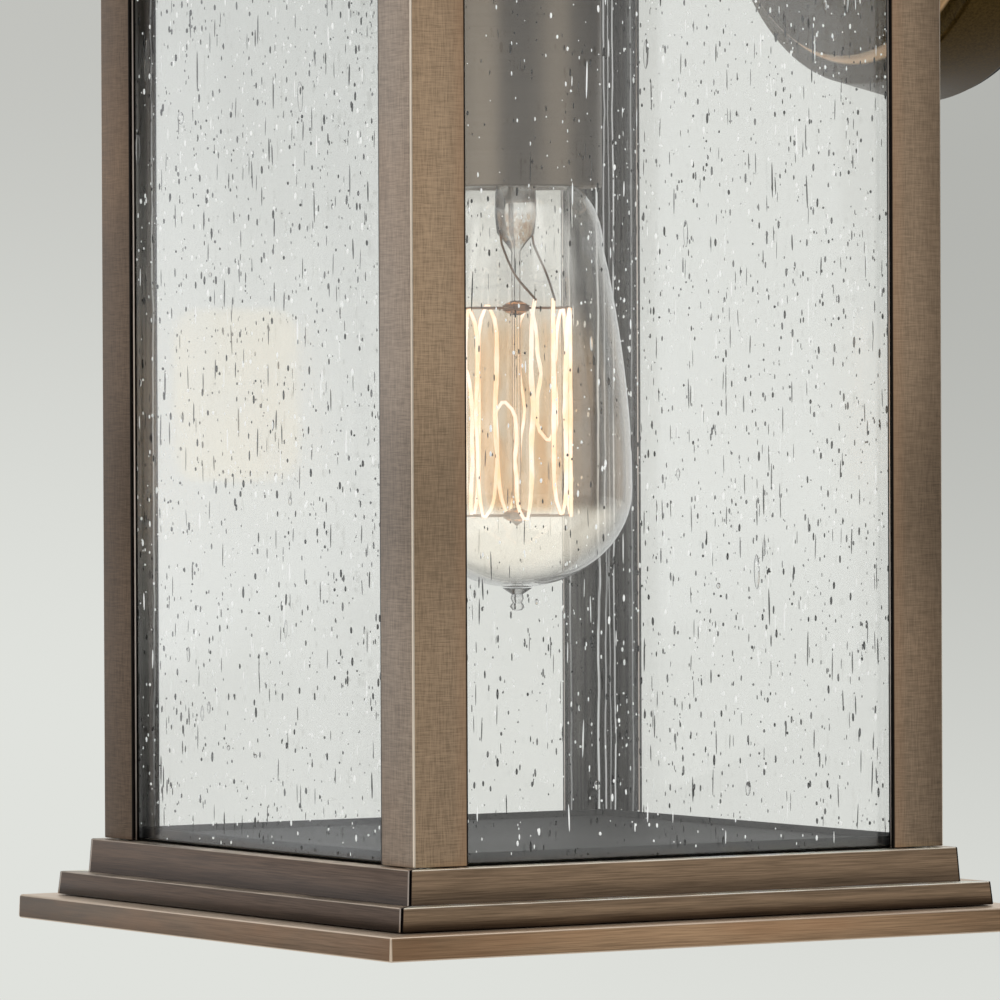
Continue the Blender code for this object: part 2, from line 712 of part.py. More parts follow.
def add_holder():
    reach = UPPER_HALF - SHEET - GAP
    strap = box(
        "socket_strap",
        (-reach, CENTRE_Y - STRAP_W / 2, STRAP_Z),
        (reach, CENTRE_Y + STRAP_W / 2, STRAP_Z + STRAP_T),
        "steel",
    )
    centre = (0, CENTRE_Y, 0)
    wires = (WIRE_HOLE_X, CENTRE_Y, 0)
    bore = PIPE_R + GAP
    strap_low, strap_high = STRAP_Z - GAP, STRAP_Z + STRAP_T + GAP
    cut(strap, disc("strap_pipe_hole", bore, strap_low, strap_high, None, centre, sides=24))
    cut(strap, disc("strap_wire_hole", WIRE_HOLE_R, strap_low, strap_high, None, wires, sides=24))
    nut("strap_nut_lower", PIPE_NUT_FLATS, bore, strap_low - PIPE_NUT_T, strap_low, "brass", centre)
    nut("strap_nut_upper", PIPE_NUT_FLATS, bore, strap_high, strap_high + PIPE_NUT_T, "brass", centre)
    pipe_low = HOLDER_TOP_Z - PIPE_IN
    ring("centre_pipe", PIPE_BORE_R, PIPE_R, pipe_low, PIPE_TOP_Z, "brass", centre)
    cover = [
        (bore, COVER_TOP_Z),
        (COVER_R - COVER_EDGE, COVER_TOP_Z),
        (COVER_R, COVER_TOP_Z - COVER_EDGE),
        (COVER_R, COVER_MOUTH_Z),
        (COVER_R - SHEET, COVER_MOUTH_Z),
        (COVER_R - SHEET, COVER_TOP_Z - SHEET),
        (bore, COVER_TOP_Z - SHEET),
    ]
    shade = turned("socket_cover", cover, "bronze", centre)
    cover_low, cover_high = COVER_TOP_Z - SHEET - GAP, COVER_TOP_Z + GAP
    cut(shade, disc("cover_wire_hole", WIRE_HOLE_R, cover_low, cover_high, None, wires, sides=24))
    nut("cover_nut", PIPE_NUT_FLATS, bore, cover_high, cover_high + PIPE_NUT_T, "brass", centre)
    body = [
        (0, HOLDER_TOP_Z),
        (HOLDER_R, HOLDER_TOP_Z),
        (HOLDER_R, HOLDER_MOUTH_Z),
        (HOLDER_BORE_R, HOLDER_MOUTH_Z),
        (HOLDER_BORE_R, BORE_TOP_Z),
        (0, BORE_TOP_Z),
    ]
    holder = turned("socket_body", body, "ceramic", centre)
    above = HOLDER_TOP_Z + GAP
    cut(holder, disc("holder_pipe_hole", bore, pipe_low - GAP, above, None, centre, sides=24))
    terminal_low = HOLDER_TOP_Z - TERMINAL_DEPTH
    for side, name in ((-1, "left"), (1, "right")):
        place = (WIRE_HOLE_X, CENTRE_Y + side * TERMINAL_HALF, 0)
        hole = f"terminal_{name}"
        cut(holder, disc(hole, WIRE_R + GAP, terminal_low, above, None, place, sides=SMALL_SIDES))
    shell_out = HOLDER_BORE_R - GAP
    shell_top = BORE_TOP_Z - SHELL_HANG
    shell_low = shell_top - SHELL_L
    ring("socket_shell", shell_out - SHELL_WALL, shell_out, shell_low, shell_top, "brass", centre)
    tongue_top = BORE_TOP_Z - GAP
    disc("socket_contact", CONTACT_R, TONGUE_Z, tongue_top, "brass", centre, sides=SMALL_SIDES)


def add_wiring():
    """Live and neutral leads from the canopy to the holder's terminals, and the ground wire."""
    tube_in = -CANOPY_DEPTH + ARM_IN
    pipe_side = WIRE_HOLE_X
    for side, name, finish in ((-1, "live_lead", "wire_black"), (1, "neutral_lead", "wire_white")):
        lane = side * (WIRE_R + LANE_GAP)
        over = LEAD_CROSSING if side < 0 else 0
        down_y = CENTRE_Y + lane
        terminal_y = CENTRE_Y + side * TERMINAL_HALF
        route = [
            Vector((side * 0.020, -0.012, -0.036)),
            Vector((side * 0.014, -0.014, -0.022)),
            Vector((side * 0.006, -0.017, -0.006)),
            Vector((lane, tube_in, 0)),
            Vector((lane, FRIEZE_BACK_Y, 0)),
            Vector((lane, FRIEZE_BACK_Y - 0.020, 0)),
            Vector((pipe_side * 0.6 + lane, CENTRE_Y + 0.036, over)),
            Vector((pipe_side, down_y + 0.005, over)),
            Vector((pipe_side, down_y, STRAP_Z + STRAP_T + WIRE_R)),
            Vector((pipe_side, down_y, STRAP_Z)),
            Vector((pipe_side, down_y, COVER_TOP_Z + 0.006)),
            Vector((pipe_side, down_y, COVER_TOP_Z - SHEET)),
            Vector((pipe_side, terminal_y, HOLDER_TOP_Z + TERMINAL_UP)),
            Vector((pipe_side, terminal_y, HOLDER_TOP_Z - TERMINAL_DEPTH + TERMINAL_UP)),
        ]
        wire(name, smooth_route(route, WIRE_R * WIRE_STEP), WIRE_R, finish)
    ground_z = WIRE_R * 2 + LANE_GAP
    ground = [
        Vector((GROUND_SCREW_X, -BAR_T - BOX_HEAD_H - GAP - WIRE_R - GAP, 0)),
        Vector((GROUND_SCREW_X - 0.001, -0.012, 0.003)),
        Vector((0.006, -0.018, 0.005)),
        Vector((0, tube_in, ground_z)),
        Vector((0, FRIEZE_BACK_Y, ground_z)),
        Vector((0, FRIEZE_BACK_Y - SHEET - ARM_IN - 0.004, ground_z)),
    ]
    wire("ground_wire", smooth_route(ground, WIRE_R * WIRE_STEP), WIRE_R, "copper")


# Lamp


def bulb_outline(inset):
    """(radius, height) points down the envelope from its neck to the foot of its dome, moved in by inset."""
    neck_z = LAMP_CAP_Z + NECK_IN
    shoulder_z = neck_z - BULB_NECK_L
    cone_z = shoulder_z - BULB_SHOULDER_L
    dome_z = cone_z - BULB_CONE_L
    points = [(BULB_NECK_R - inset, neck_z), (BULB_NECK_R - inset, shoulder_z)]
    for step in (1, 2, 3, 4):
        turn = math.radians(step * 22.5)
        radius = BULB_NECK_R + (BULB_SHOULDER_R - BULB_NECK_R) * math.sin(turn)
        points.append((radius - inset, shoulder_z - BULB_SHOULDER_L * (1 - math.cos(turn))))
    for share in (0.33, 0.66, 0.88):
        radius = BULB_SHOULDER_R + (BULB_R - BULB_SHOULDER_R) * math.sin(share * math.pi / 2) ** 0.9
        points.append((radius - inset, cone_z - BULB_CONE_L * share))
    for step in range(8):
        turn = math.radians(step * 12)
        points.append(((BULB_R - inset) * math.cos(turn), dome_z - (BULB_DOME_L - inset) * math.sin(turn)))
    return points, dome_z - BULB_DOME_L


def add_bulb():
    centre = (0, CENTRE_Y, 0)
    outer, low = bulb_outline(0)
    inner, _ = bulb_outline(BULB_WALL)
    tip = [
        (BULB_TIP_R * 0.8, low),
        (BULB_TIP_R, low - BULB_TIP_L * 0.4),
        (BULB_TIP_R * 0.7, low - BULB_TIP_L * 0.8),
        (0, low - BULB_TIP_L),
    ]
    inside = [(0, low + BULB_WALL), *reversed(inner)]
    turned("bulb_glass", inside + outer + tip, "glass", centre)
    add_lamp_cap(centre)
    add_mount(centre)


def add_lamp_cap(centre):
    crest = CAP_R
    root = CAP_R - CAP_THREAD
    profile = [(CONTACT_R * 2, LAMP_CAP_TOP_Z), (root - CAP_THREAD, LAMP_CAP_TOP_Z)]
    top = LAMP_CAP_TOP_Z - CAP_SHOULDER
    for turn in range(CAP_TURNS):
        profile.append((root, top - turn * CAP_PITCH))
        profile.append((crest, top - (turn + 0.5) * CAP_PITCH))
    profile.append((root, LAMP_CAP_Z + CAP_SKIRT))
    profile.append((crest, LAMP_CAP_Z))
    lining = root - CAP_WALL
    profile.append((lining, LAMP_CAP_Z))
    profile.append((lining, LAMP_CAP_TOP_Z - CAP_WALL - CAP_SHOULDER))
    profile.append((CONTACT_R * 2, LAMP_CAP_TOP_Z - CAP_WALL))
    turned("bulb_cap", profile, "brass", centre)
    low = LAMP_CAP_TOP_Z + GAP
    insulator = [
        (0, low + INSULATOR_H),
        (CONTACT_R, low + INSULATOR_H),
        (root - CAP_THREAD, low),
        (0, low),
    ]
    turned("bulb_insulator", insulator, "black_insulator", centre)
    disc("bulb_contact", CONTACT_R, CONTACT_Z, CONTACT_TOP_Z, "steel", centre, sides=SMALL_SIDES)


def add_mount(centre):
    """The glass stem, its two buttons and wire supports, the filament and the wires that lead to it."""
    top = LAMP_CAP_Z + STEM_IN
    button_end = BUTTON_H + BUTTON_LEAN
    stem = [
        (0, top),
        (STEM_R * STEM_FLARE, top),
        (STEM_R, top - STEM_FLARE_L),
        (STEM_R, PRESS_Z + PRESS_L),
        (ROD_R, PRESS_Z),
        (ROD_R, CAGE_TOP_Z + button_end),
        (BUTTON_R, CAGE_TOP_Z + BUTTON_H),
        (BUTTON_R, CAGE_TOP_Z - BUTTON_H),
        (ROD_R, CAGE_TOP_Z - button_end),
        (ROD_R, CAGE_LOW_Z + button_end),
        (BUTTON_R, CAGE_LOW_Z + BUTTON_H),
        (BUTTON_R, CAGE_LOW_Z - BUTTON_H),
        (0, CAGE_LOW_Z - ROD_END),
    ]
    turned("bulb_stem", stem, "glass", centre, steps=SMALL_SIDES)
    add_support("bulb_support_upper", CAGE_TOP_Z, [leg_turn(leg + 0.5) for leg in range(1, LEGS - 1, 2)])
    add_support("bulb_support_lower", CAGE_LOW_Z, [leg_turn(leg + 0.5) for leg in range(0, LEGS, 2)])
    add_filament(centre)
    for side, name in ((-1, "left"), (1, "right")):
        add_bulb_lead(f"bulb_lead_{name}", side, centre)


def add_bulb_lead(name, side, centre):
    """From one side of the press seal out to its end of the filament."""
    out = STEM_R + SUPPORT_WIRE_R + GAP
    turn = leg_turn(0)
    end = Vector((CAGE_R * math.cos(turn), side * CAGE_R * math.sin(turn), CAGE_TOP_Z + BEND_RISE))
    route = [
        Vector((0, side * out, PRESS_Z + 0.004)),
        Vector((0.001, side * out, PRESS_Z)),
        Vector((CAGE_R * 0.5, side * out, CAGE_TOP_Z + 0.009)),
        end + Vector((0, 0, FILAMENT_R + SUPPORT_WIRE_R + GAP)),
    ]
    wire(name, smooth_route(route, 0.003), SUPPORT_WIRE_R, "steel", centre, resolution=1)


def add_support(name, z, turns):
    """A collar round a glass button, with one straight wire out to each bend of the filament."""
    inner = BUTTON_R + GAP
    hub = ring(name, inner, inner + HUB_WALL, z - HUB_WALL, z + HUB_WALL, "steel", (0, CENTRE_Y, 0))
    reach = CAGE_R - FILAMENT_R - GAP
    for number, turn in enumerate(turns):
        start = inner + HUB_WALL / 2
        spoke = disc(f"{name}_spoke_{number}", SUPPORT_WIRE_R, start, reach, None, sides=6)
        spoke.location = (0, CENTRE_Y, z)
        spoke.rotation_euler = (0, math.pi / 2, turn)
        cut(hub, spoke, "UNION")


def leg_turn(leg):
    """The angle round the cage at which an upright run of the filament stands."""
    return (leg + 0.5) * 2 * math.pi / LEGS


def add_filament(centre):
    """A zig-zag round the cage, down one leg and up the next, open where its two ends meet the lead wires."""
    points = []
    for leg in range(LEGS):
        turn = leg_turn(leg)
        ends = [CAGE_TOP_Z + BEND_RISE, CAGE_LOW_Z - BEND_RISE]
        if leg % 2:
            ends.reverse()
        points += [Vector((CAGE_R * math.cos(turn), CAGE_R * math.sin(turn), z)) for z in ends]
    wire("bulb_filament", points, FILAMENT_R, "filament", centre, resolution=1)


clear_scene()
add_base()
add_posts()
add_glass()
add_head()
add_roof()
add_finial()
add_arm()
add_canopy()
add_holder()
add_wiring()
add_bulb()
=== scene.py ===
"""Looks of the outdoor wall lantern: brushed bronze frame and base with painted light, shade and highlights,
seeded glass, clear lamp with a glowing filament, seen from the front right corner a little below the middle of
the glass."""

import json
import math
import random

import bpy
from mathutils import Matrix, Vector


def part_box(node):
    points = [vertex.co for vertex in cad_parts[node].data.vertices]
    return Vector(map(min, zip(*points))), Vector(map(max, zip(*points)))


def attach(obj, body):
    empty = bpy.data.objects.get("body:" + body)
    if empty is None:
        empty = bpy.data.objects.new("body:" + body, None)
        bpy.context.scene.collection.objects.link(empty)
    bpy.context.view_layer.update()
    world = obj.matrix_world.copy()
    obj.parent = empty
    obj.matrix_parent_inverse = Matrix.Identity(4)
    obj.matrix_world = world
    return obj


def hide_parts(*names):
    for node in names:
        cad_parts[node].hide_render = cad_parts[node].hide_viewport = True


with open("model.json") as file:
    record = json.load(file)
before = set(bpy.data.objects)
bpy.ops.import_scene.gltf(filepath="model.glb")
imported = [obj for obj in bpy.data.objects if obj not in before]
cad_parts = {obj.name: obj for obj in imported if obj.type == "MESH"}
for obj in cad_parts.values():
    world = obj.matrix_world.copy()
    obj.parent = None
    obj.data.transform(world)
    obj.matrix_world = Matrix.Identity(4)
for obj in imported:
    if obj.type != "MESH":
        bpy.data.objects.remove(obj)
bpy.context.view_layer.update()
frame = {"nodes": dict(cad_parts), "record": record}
nodes = frame["nodes"]
record = frame["record"]
body_of = {node: body for body, members in record["behaviour"]["bodies"].items() for node in members}
slot_of = {part["node"]: part["material_slot"] for part in record["subparts"]}

BASE_LOW, BASE_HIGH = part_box("base_plate")
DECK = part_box("floor_tray")[0].z
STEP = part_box("base_moulding_front")[0].z
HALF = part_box("post_front_right")[1].x
AXIS_Y = (BASE_LOW.y + BASE_HIGH.y) / 2
CENTRE = Vector((0, AXIS_Y, 0))
POST_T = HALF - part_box("glass_right")[1].x
LEG_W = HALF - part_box("post_front_right")[0].x
GLASS_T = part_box("glass_right")[1].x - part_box("glass_right")[0].x
COVER_LOW, COVER_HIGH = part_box("socket_cover")
COVER_R = COVER_HIGH.x
LAMP_LOW, LAMP_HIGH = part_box("bulb_glass")
LAMP_R = LAMP_HIGH.x
CAGE_TOP = (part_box("bulb_support_upper")[0].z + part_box("bulb_support_upper")[1].z) / 2
CAGE_LOW = (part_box("bulb_support_lower")[0].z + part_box("bulb_support_lower")[1].z) / 2
CAGE_R = 0.0156
CAGE_MIDDLE = (CAGE_TOP + CAGE_LOW) / 2
PANE_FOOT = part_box("glass_right")[0].z
CANOPY_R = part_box("canopy")[1].x
CANOPY_TAPER = 0.0045
CANOPY_COVE = 0.0078
CANOPY_STEP_R = CANOPY_R - 0.0135
UPPER_STEP_H = 0.0092
ARM_HOLE_R = 0.0083
WALL_ORIGIN = Vector((0, 0, 0))
WALL_AXIS = Matrix.Rotation(math.pi / 2, 4, "X")  # turns +Z to point away from the wall
WHITE = (1, 1, 1)
BLACK = (0, 0, 0)

random.seed(7)


# Shader expressions


class Val:
    """A number socket of a material. Arithmetic on it adds Math nodes."""

    def __init__(self, finish, socket):
        self.finish = finish
        self.socket = socket

    def math(self, operation, *others):
        values = dict(enumerate((self, *others)))
        return self.finish.add("ShaderNodeMath", {"operation": operation}, values)

    def __add__(self, other):
        return self.math("ADD", other)

    def __sub__(self, other):
        return self.math("SUBTRACT", other)

    def __rsub__(self, other):
        return self.finish.add("ShaderNodeMath", {"operation": "SUBTRACT"}, {0: other, 1: self})

    def __mul__(self, other):
        return self.math("MULTIPLY", other)

    def __truediv__(self, other):
        return self.math("DIVIDE", other)

    def __pow__(self, other):
        return self.math("POWER", other)

    def __abs__(self):
        return self.math("ABSOLUTE")

    __radd__ = __add__
    __rmul__ = __mul__

    def step(self, low, high, to_low=0.0, to_high=1.0):
        """Smooth change from to_low to to_high as this value goes from low to high."""
        values = {0: self, 1: low, 2: high, 3: to_low, 4: to_high}
        return self.finish.add("ShaderNodeMapRange", {"interpolation_type": "SMOOTHSTEP"}, values)


class Finish:
    """One node tree, of a material or of the world."""

    def __init__(self, owner, output):
        owner.use_nodes = True
        self.owner = owner
        self.tree = owner.node_tree
        self.tree.nodes.clear()
        self.output = self.tree.nodes.new(output)

    def add(self, kind, settings=None, values=None, out=0):
        """Adds a node: its settings first, then values or links of its sockets. Gives one of its outputs."""
        node = self.tree.nodes.new(kind)
        for name, value in (settings or {}).items():
            if name == "stops":
                self.set_stops(node.color_ramp, value)
            else:
                setattr(node, name, value)
        for name, value in (values or {}).items():
            self.feed(node.inputs[name], value)
        return Val(self, node.outputs[out])

    def feed(self, socket, value):
        if isinstance(value, Val):
            self.tree.links.new(value.socket, socket)
        elif isinstance(value, tuple) and len(value) == 3 and socket.type == "RGBA":
            socket.default_value = (*value, 1)
        else:
            socket.default_value = value

    def set_stops(self, ramp, stops):
        while len(ramp.elements) < len(stops):
            ramp.elements.new(1)
        for element, (place, colour) in zip(ramp.elements, stops):
            element.position = place
            element.color = (*colour, 1)

    def place(self):
        return self.add("ShaderNodeTexCoord", out="Object")

    def axes(self):
        """The three coordinates of the place on the piece."""
        split = self.add("ShaderNodeSeparateXYZ", values={0: self.place()}).socket.node
        return [Val(self, socket) for socket in split.outputs]

    def stretched(self, x, y, z):
        """The place on the piece, scaled along each axis."""
        scale = {0: self.place(), 1: (x, y, z)}
        return self.add("ShaderNodeVectorMath", {"operation": "MULTIPLY"}, scale)

    def noise(self, x, y, z, detail=2.0, roughness=0.5):
        values = {"Vector": self.stretched(x, y, z), "Scale": 1.0, "Detail": detail, "Roughness": roughness}
        return self.add("ShaderNodeTexNoise", values=values)

    def mix(self, low, high, share):
        """A colour between two colours."""
        settings = {"data_type": "RGBA", "clamp_factor": True}
        return self.add("ShaderNodeMix", settings, {0: share, 6: low, 7: high}, out=2)

    def scaled(self, colour, factor):
        """A colour made brighter or darker."""
        return self.add("ShaderNodeVectorMath", {"operation": "SCALE"}, {0: colour, "Scale": factor})

    def bump(self, height, distance, strength=1.0):
        values = {"Height": height, "Distance": distance, "Strength": strength}
        return self.add("ShaderNodeBump", values=values)

    def surface(self, shader):
        self.tree.links.new(shader.socket, self.output.inputs["Surface"])
        return self.owner

    def principled(self, values):
        return self.surface(self.add("ShaderNodeBsdfPrincipled", values=values))


def finish(name):
    return Finish(bpy.data.materials.new(name), "ShaderNodeOutputMaterial")


# Metal finishes


def linen(look):
    """Very fine brushing both up and down and across, as a number about 0.5."""
    upright = look.noise(3500, 3500, 230, 3)
    across = look.noise(230, 230, 3500, 3)
    return upright * 0.5 + across * 0.5


def painted_face_light(look, front, side):
    """Painted light and shade, face by face: one colour for the front and back, one for the two sides. Each is
    a
    pair: beside the front right corner, and at the far end of that face."""
    x, y, _ = look.axes()
    depth = y - AXIS_Y
    leftward = (HALF - x) / (2 * HALF)
    backward = (depth + HALF) / (2 * HALF)
    front_tone = look.mix(*front, leftward)
    side_tone = look.mix(*side, backward)
    return look.mix(side_tone, front_tone, (abs(depth) - abs(x)).step(-0.0001, 0.0001))


def post_bronze():
    """Bronze brushed both ways, with painted light and shade: greyer on the front and warm on the sides,
    duller at mid height, a painted highlight on the outer corner, painted shade with a painted highlight line
    on the ends of the legs, and grey inside with painted glints and painted shadow lines along the pane edges."""
    look = finish("brushed_bronze")
    weave = linen(look)
    cloud = look.noise(14, 14, 9, 3)
    # Painted light and shade: the front and the sides each get their own lit or shaded tone.
    colour = painted_face_light(
        look,
        ((0.327, 0.260, 0.205), (0.126, 0.087, 0.060)),
        ((0.333, 0.241, 0.161), (0.246, 0.181, 0.126)),
    )
    colour = look.mix(colour, (0.34, 0.21, 0.12), cloud.step(0.5, 0.75, 0, 0.3))
    colour = look.scaled(colour, weave.step(0.25, 0.75, 0.64, 1.38))
    x, y, z = look.axes()
    # Darker around mid height; painted shade darkens the back of the posts towards the wall.
    mid_z = DECK + 0.094
    mid_height_dimming = abs(z - mid_z).step(0.004, 0.042, 0.78, 1.06)
    shaded = (y - AXIS_Y).step(HALF - LEG_W * 0.8, HALF, 1, 0.68)
    colour = look.scaled(colour, mid_height_dimming * shaded)
    depth = abs(y - AXIS_Y)
    across = abs(x)
    reach = depth.math("MAXIMUM", across)
    core = depth.math("MINIMUM", across)
    free_edge = core.step(HALF - LEG_W, HALF - LEG_W + 0.0055, 0.32, 0) * (across - depth).step(0, 0.001)
    colour = look.mix(colour, (0.50, 0.30, 0.18), free_edge)
    inner = reach.step(HALF - POST_T * 0.6, HALF - POST_T * 0.3, 1, 0)
    streaks = look.noise(700, 700, 14, 2)
    grey = look.mix((0.060, 0.060, 0.060), (0.19, 0.18, 0.17), streaks.step(0.35, 0.65))
    colour = look.mix(colour, grey, inner * 0.92)
    wavy = core + (look.noise(60, 60, 45, 3) - 0.5) * 0.0018
    pane_face = HALF - POST_T - GLASS_T
    # Painted shadow: a thin black line beside the pane edge inside the post.
    gap_shadow_line = abs(wavy - (pane_face - 0.0011)).step(0.0002, 0.0006, 1, 0)
    colour = look.mix(colour, (0.01, 0.01, 0.01), inner * gap_shadow_line)
    # Painted glints: light lines along the pane edges, given as emission.
    glint = abs(wavy - pane_face).step(0.0002, 0.0005, 1, 0)
    glint = glint + abs(wavy - (pane_face + 0.0024)).step(0.0001, 0.0004, 0.7, 0)
    glint = glint + abs(wavy - (HALF - LEG_W + 0.0016)).step(0.0001, 0.0004, 0.5, 0)
    painted_glints = look.mix(BLACK, (0.72, 0.72, 0.71), inner * glint * streaks.step(0.3, 0.6, 0.4, 1))
    # Painted shade on the ends of the legs, with a painted highlight line along them.
    shaded_leg_end = core.step(HALF - LEG_W + 0.0004, HALF - LEG_W + 0.0008, 1, 0)
    colour = look.mix(colour, (0.012, 0.010, 0.009), shaded_leg_end)
    leg_end_highlight = abs(reach - (HALF - POST_T * 0.45)).step(0.0001, 0.00028, 1, 0)
    colour = look.mix(colour, (0.75, 0.66, 0.60), leg_end_highlight * shaded_leg_end)
    # Painted highlight: the chamfered outer corner made bright.
    corner = core.step(HALF - 0.0006, HALF - 0.0004)
    colour = look.mix(colour, (1.0, 0.88, 0.74), corner)
    return look.principled({
        "Base Color": colour,
        "Metallic": 1.0,
        "Roughness": weave * 0.2 + 0.32,
        "Emission Color": painted_glints,
        "Emission Strength": 1.0,
        "Normal": look.bump(weave, 0.00008, 0.5),
    })


def moulding_bronze(name, bands):
    """Bronze brushed along its length, with a painted highlight on each step's upper edge and painted shade
    low on each step, where it meets the one below. Bands are (lowest, highest, tone, share of painted shade);
    mitres show as a dark line."""
    look = finish(name)
    lines = look.noise(60, 60, 2800, 4, 0.6)
    cloud = look.noise(20, 20, 60, 3)
    # Painted light and shade: the front and the sides each get their own lit or shaded tone.
    base = painted_face_light(
        look,
        ((0.122, 0.085, 0.064), (0.112, 0.073, 0.050)),
        ((0.245, 0.171, 0.112), (0.252, 0.176, 0.115)),
    )
    # Painted highlight colours for each step's upper edge, face by face.
    edge_highlight = painted_face_light(look, ((0.62, 0.52, 0.42), (0.50, 0.42, 0.34)), ((1.0, 0.90, 0.76), (1.0, 0.90, 0.76)))
    x, y, z = look.axes()
    colour = base
    for low, high, tone, share in bands:
        inside = z.math("GREATER_THAN", low - 0.0003) * z.math("LESS_THAN", high + 0.0003)
        wander = z + (cloud - 0.5) * 0.0014
        # Painted shade: each step darkens towards its foot, where it meets the step below, by the band's
        # share.
        dark = wander.step(low, low + (high - low) * 0.62, share, 0)
        step_tone = look.mix(look.scaled(base, tone), (0.012, 0.009, 0.008), dark)
        step_tone = look.mix(step_tone, edge_highlight, z.step(high - 0.0007, high - 0.0004))
        colour = look.mix(colour, step_tone, inside)
    colour = look.scaled(colour, lines.step(0.25, 0.72, 0.66, 1.36))
    mitre = abs(y - AXIS_Y) - abs(x)
    colour = look.mix(colour, (0.38, 0.32, 0.27), abs(mitre - 0.0008).step(0.00025, 0.0004, 1, 0))
    colour = look.mix(colour, (0.008, 0.006, 0.006), abs(mitre + 0.0001).step(0.0004, 0.0006, 1, 0))
    return look.principled({
        "Base Color": colour,
        "Metallic": 1.0,
        "Roughness": lines * 0.15 + 0.33,
        "Normal": look.bump(lines, 0.0001, 0.5),
    })


def plate_bronze():
    """The base plate's brighter, coppery bronze, brushed along its edge, with painted light along its sides
    and painted highlights on its arrises.
    """
    look = finish("copper_bronze")
    lines = look.noise(50, 50, 2600, 4, 0.6)
    cloud = look.noise(25, 25, 90, 3)
    # Painted light and shade: the front and the sides each get their own lit or shaded tone.
    colour = painted_face_light(
        look,
        ((0.242, 0.165, 0.111), (0.113, 0.079, 0.051)),
        ((0.262, 0.172, 0.104), (0.262, 0.172, 0.104)),
    )
    x, y, z = look.axes()
    # Painted light: the sides brighten towards the middle of their depth.
    backward = ((y - AXIS_Y + HALF) / (2 * HALF)).math("MINIMUM", 1.0).math("MAXIMUM", 0.0)
    colour = look.scaled(colour, backward * (1 - backward) * 1.2 + 1)
    colour = look.scaled(colour, lines.step(0.25, 0.72, 0.7, 1.32))
    colour = look.mix(colour, (0.30, 0.165, 0.09), cloud.step(0.4, 0.7, 0, 0.4))
    # Painted highlights on the arrises: top, bottom and upright corners.
    arris = z.step(BASE_HIGH.z - 0.0006, BASE_HIGH.z - 0.0003)
    arris = arris + z.step(BASE_LOW.z + 0.0002, BASE_LOW.z + 0.0005, 1, 0)
    reach = abs(x).math("MINIMUM", abs(y - AXIS_Y))
    arris = arris + reach.step(BASE_HIGH.x - 0.0007, BASE_HIGH.x - 0.0004)
    colour = look.mix(colour, (0.92, 0.76, 0.60), arris.math("MINIMUM", 1.0) * 0.9)
    return look.principled({
        "Base Color": colour,
        "Metallic": 1.0,
        "Roughness": lines * 0.15 + 0.32,
        "Normal": look.bump(lines, 0.0001, 0.5),
    })


def sheet_bronze():
    """The head, roof and arm: brushed bronze with soft cloudy patches."""
    look = finish("roof_bronze")
    weave = linen(look)
    cloud = look.noise(11, 11, 16, 4)
    colour = look.mix((0.21, 0.15, 0.095), (0.42, 0.31, 0.205), weave.step(0.3, 0.7))
    colour = look.mix(colour, (0.14, 0.105, 0.075), cloud.step(0.45, 0.7, 0, 0.5))
    return look.principled({
        "Base Color": colour,
        "Metallic": 1.0,
        "Roughness": weave * 0.2 + 0.34,
        "Normal": look.bump(weave, 0.0001, 0.5),
    })


def canopy_bronze():
    """Dark olive bronze with very fine mottling, and a painted copper highlight round the inner edge of its
    step.
    """
    look = finish("olive_bronze")
    fleck = look.noise(1500, 1500, 1500, 3, 0.6)
    cloud = look.noise(24, 24, 24, 3)
    colour = look.mix((0.042, 0.025, 0.006), (0.080, 0.049, 0.013), fleck.step(0.3, 0.7))
    colour = look.mix(colour, (0.12, 0.066, 0.026), cloud.step(0.5, 0.75, 0, 0.35))
    x, _, z = look.axes()
    radius = (x * x + z * z) ** 0.5
    # Painted highlight: a copper ring round the inner edge of the step.
    step_highlight = abs(radius - CANOPY_STEP_R - 0.0020).step(0.0006, 0.0015, 1, 0)
    colour = look.mix(colour, (0.92, 0.62, 0.36), step_highlight * 0.9)
    return look.principled({
        "Base Color": colour,
        "Metallic": 1.0,
        "Roughness": fleck * 0.15 + 0.3,
        "Normal": look.bump(fleck, 0.00005, 0.3),
    })


def cover_bronze():
    """The socket cover: satin bronze brushed round, with painted light making it paler on its left."""
    look = finish("satin_bronze")
    lines = look.noise(9, 9, 1400, 3)
    x, y, _ = look.axes()
    colour = look.mix((0.168, 0.137, 0.104), (0.230, 0.190, 0.148), lines)
    # Painted light: up to half again as bright towards the left.
    rightward = x * 0.52 + (y - AXIS_Y) * 0.85
    colour = look.scaled(colour, rightward.step(-0.014, 0.004, 1.5, 1.0))
    return look.principled({
        "Base Color": colour,
        "Metallic": 1.0,
        "Roughness": lines * 0.12 + 0.34,
        "Normal": look.bump(lines, 0.00005, 0.4),
    })


def floor_bronze():
    """The floor tray and the glass retainer: a dark, greyish satin."""
    look = finish("grey_floor")
    fleck = look.noise(900, 900, 900, 3)
    cloud = look.noise(18, 18, 18, 2)
    colour = look.mix((0.043, 0.045, 0.046), (0.081, 0.082, 0.082), fleck)
    return look.principled({
        "Base Color": colour,
        "Metallic": 0.0,
        "Specular IOR Level": 0.2,
        "Roughness": cloud * 0.2 + 0.45,
        "Normal": look.bump(fleck, 0.00005, 0.3),
    })


def plain_metal(name, colour, roughness, grain=500.0):
    """A small fitting's metal, with a fine grain and slight tarnish."""
    look = finish(name)
    fine = look.noise(grain, grain, grain, 3)
    cloud = look.noise(90, 90, 90, 2)
    tarnished = tuple(part * 0.6 for part in colour)
    tone = look.mix(colour, tarnished, cloud.step(0.4, 0.75, 0, 0.6))
    return look.principled({
        "Base Color": tone,
        "Metallic": 1.0,
        "Roughness": fine * 0.15 + roughness,
        "Normal": look.bump(fine, 0.00005, 0.3),
    })


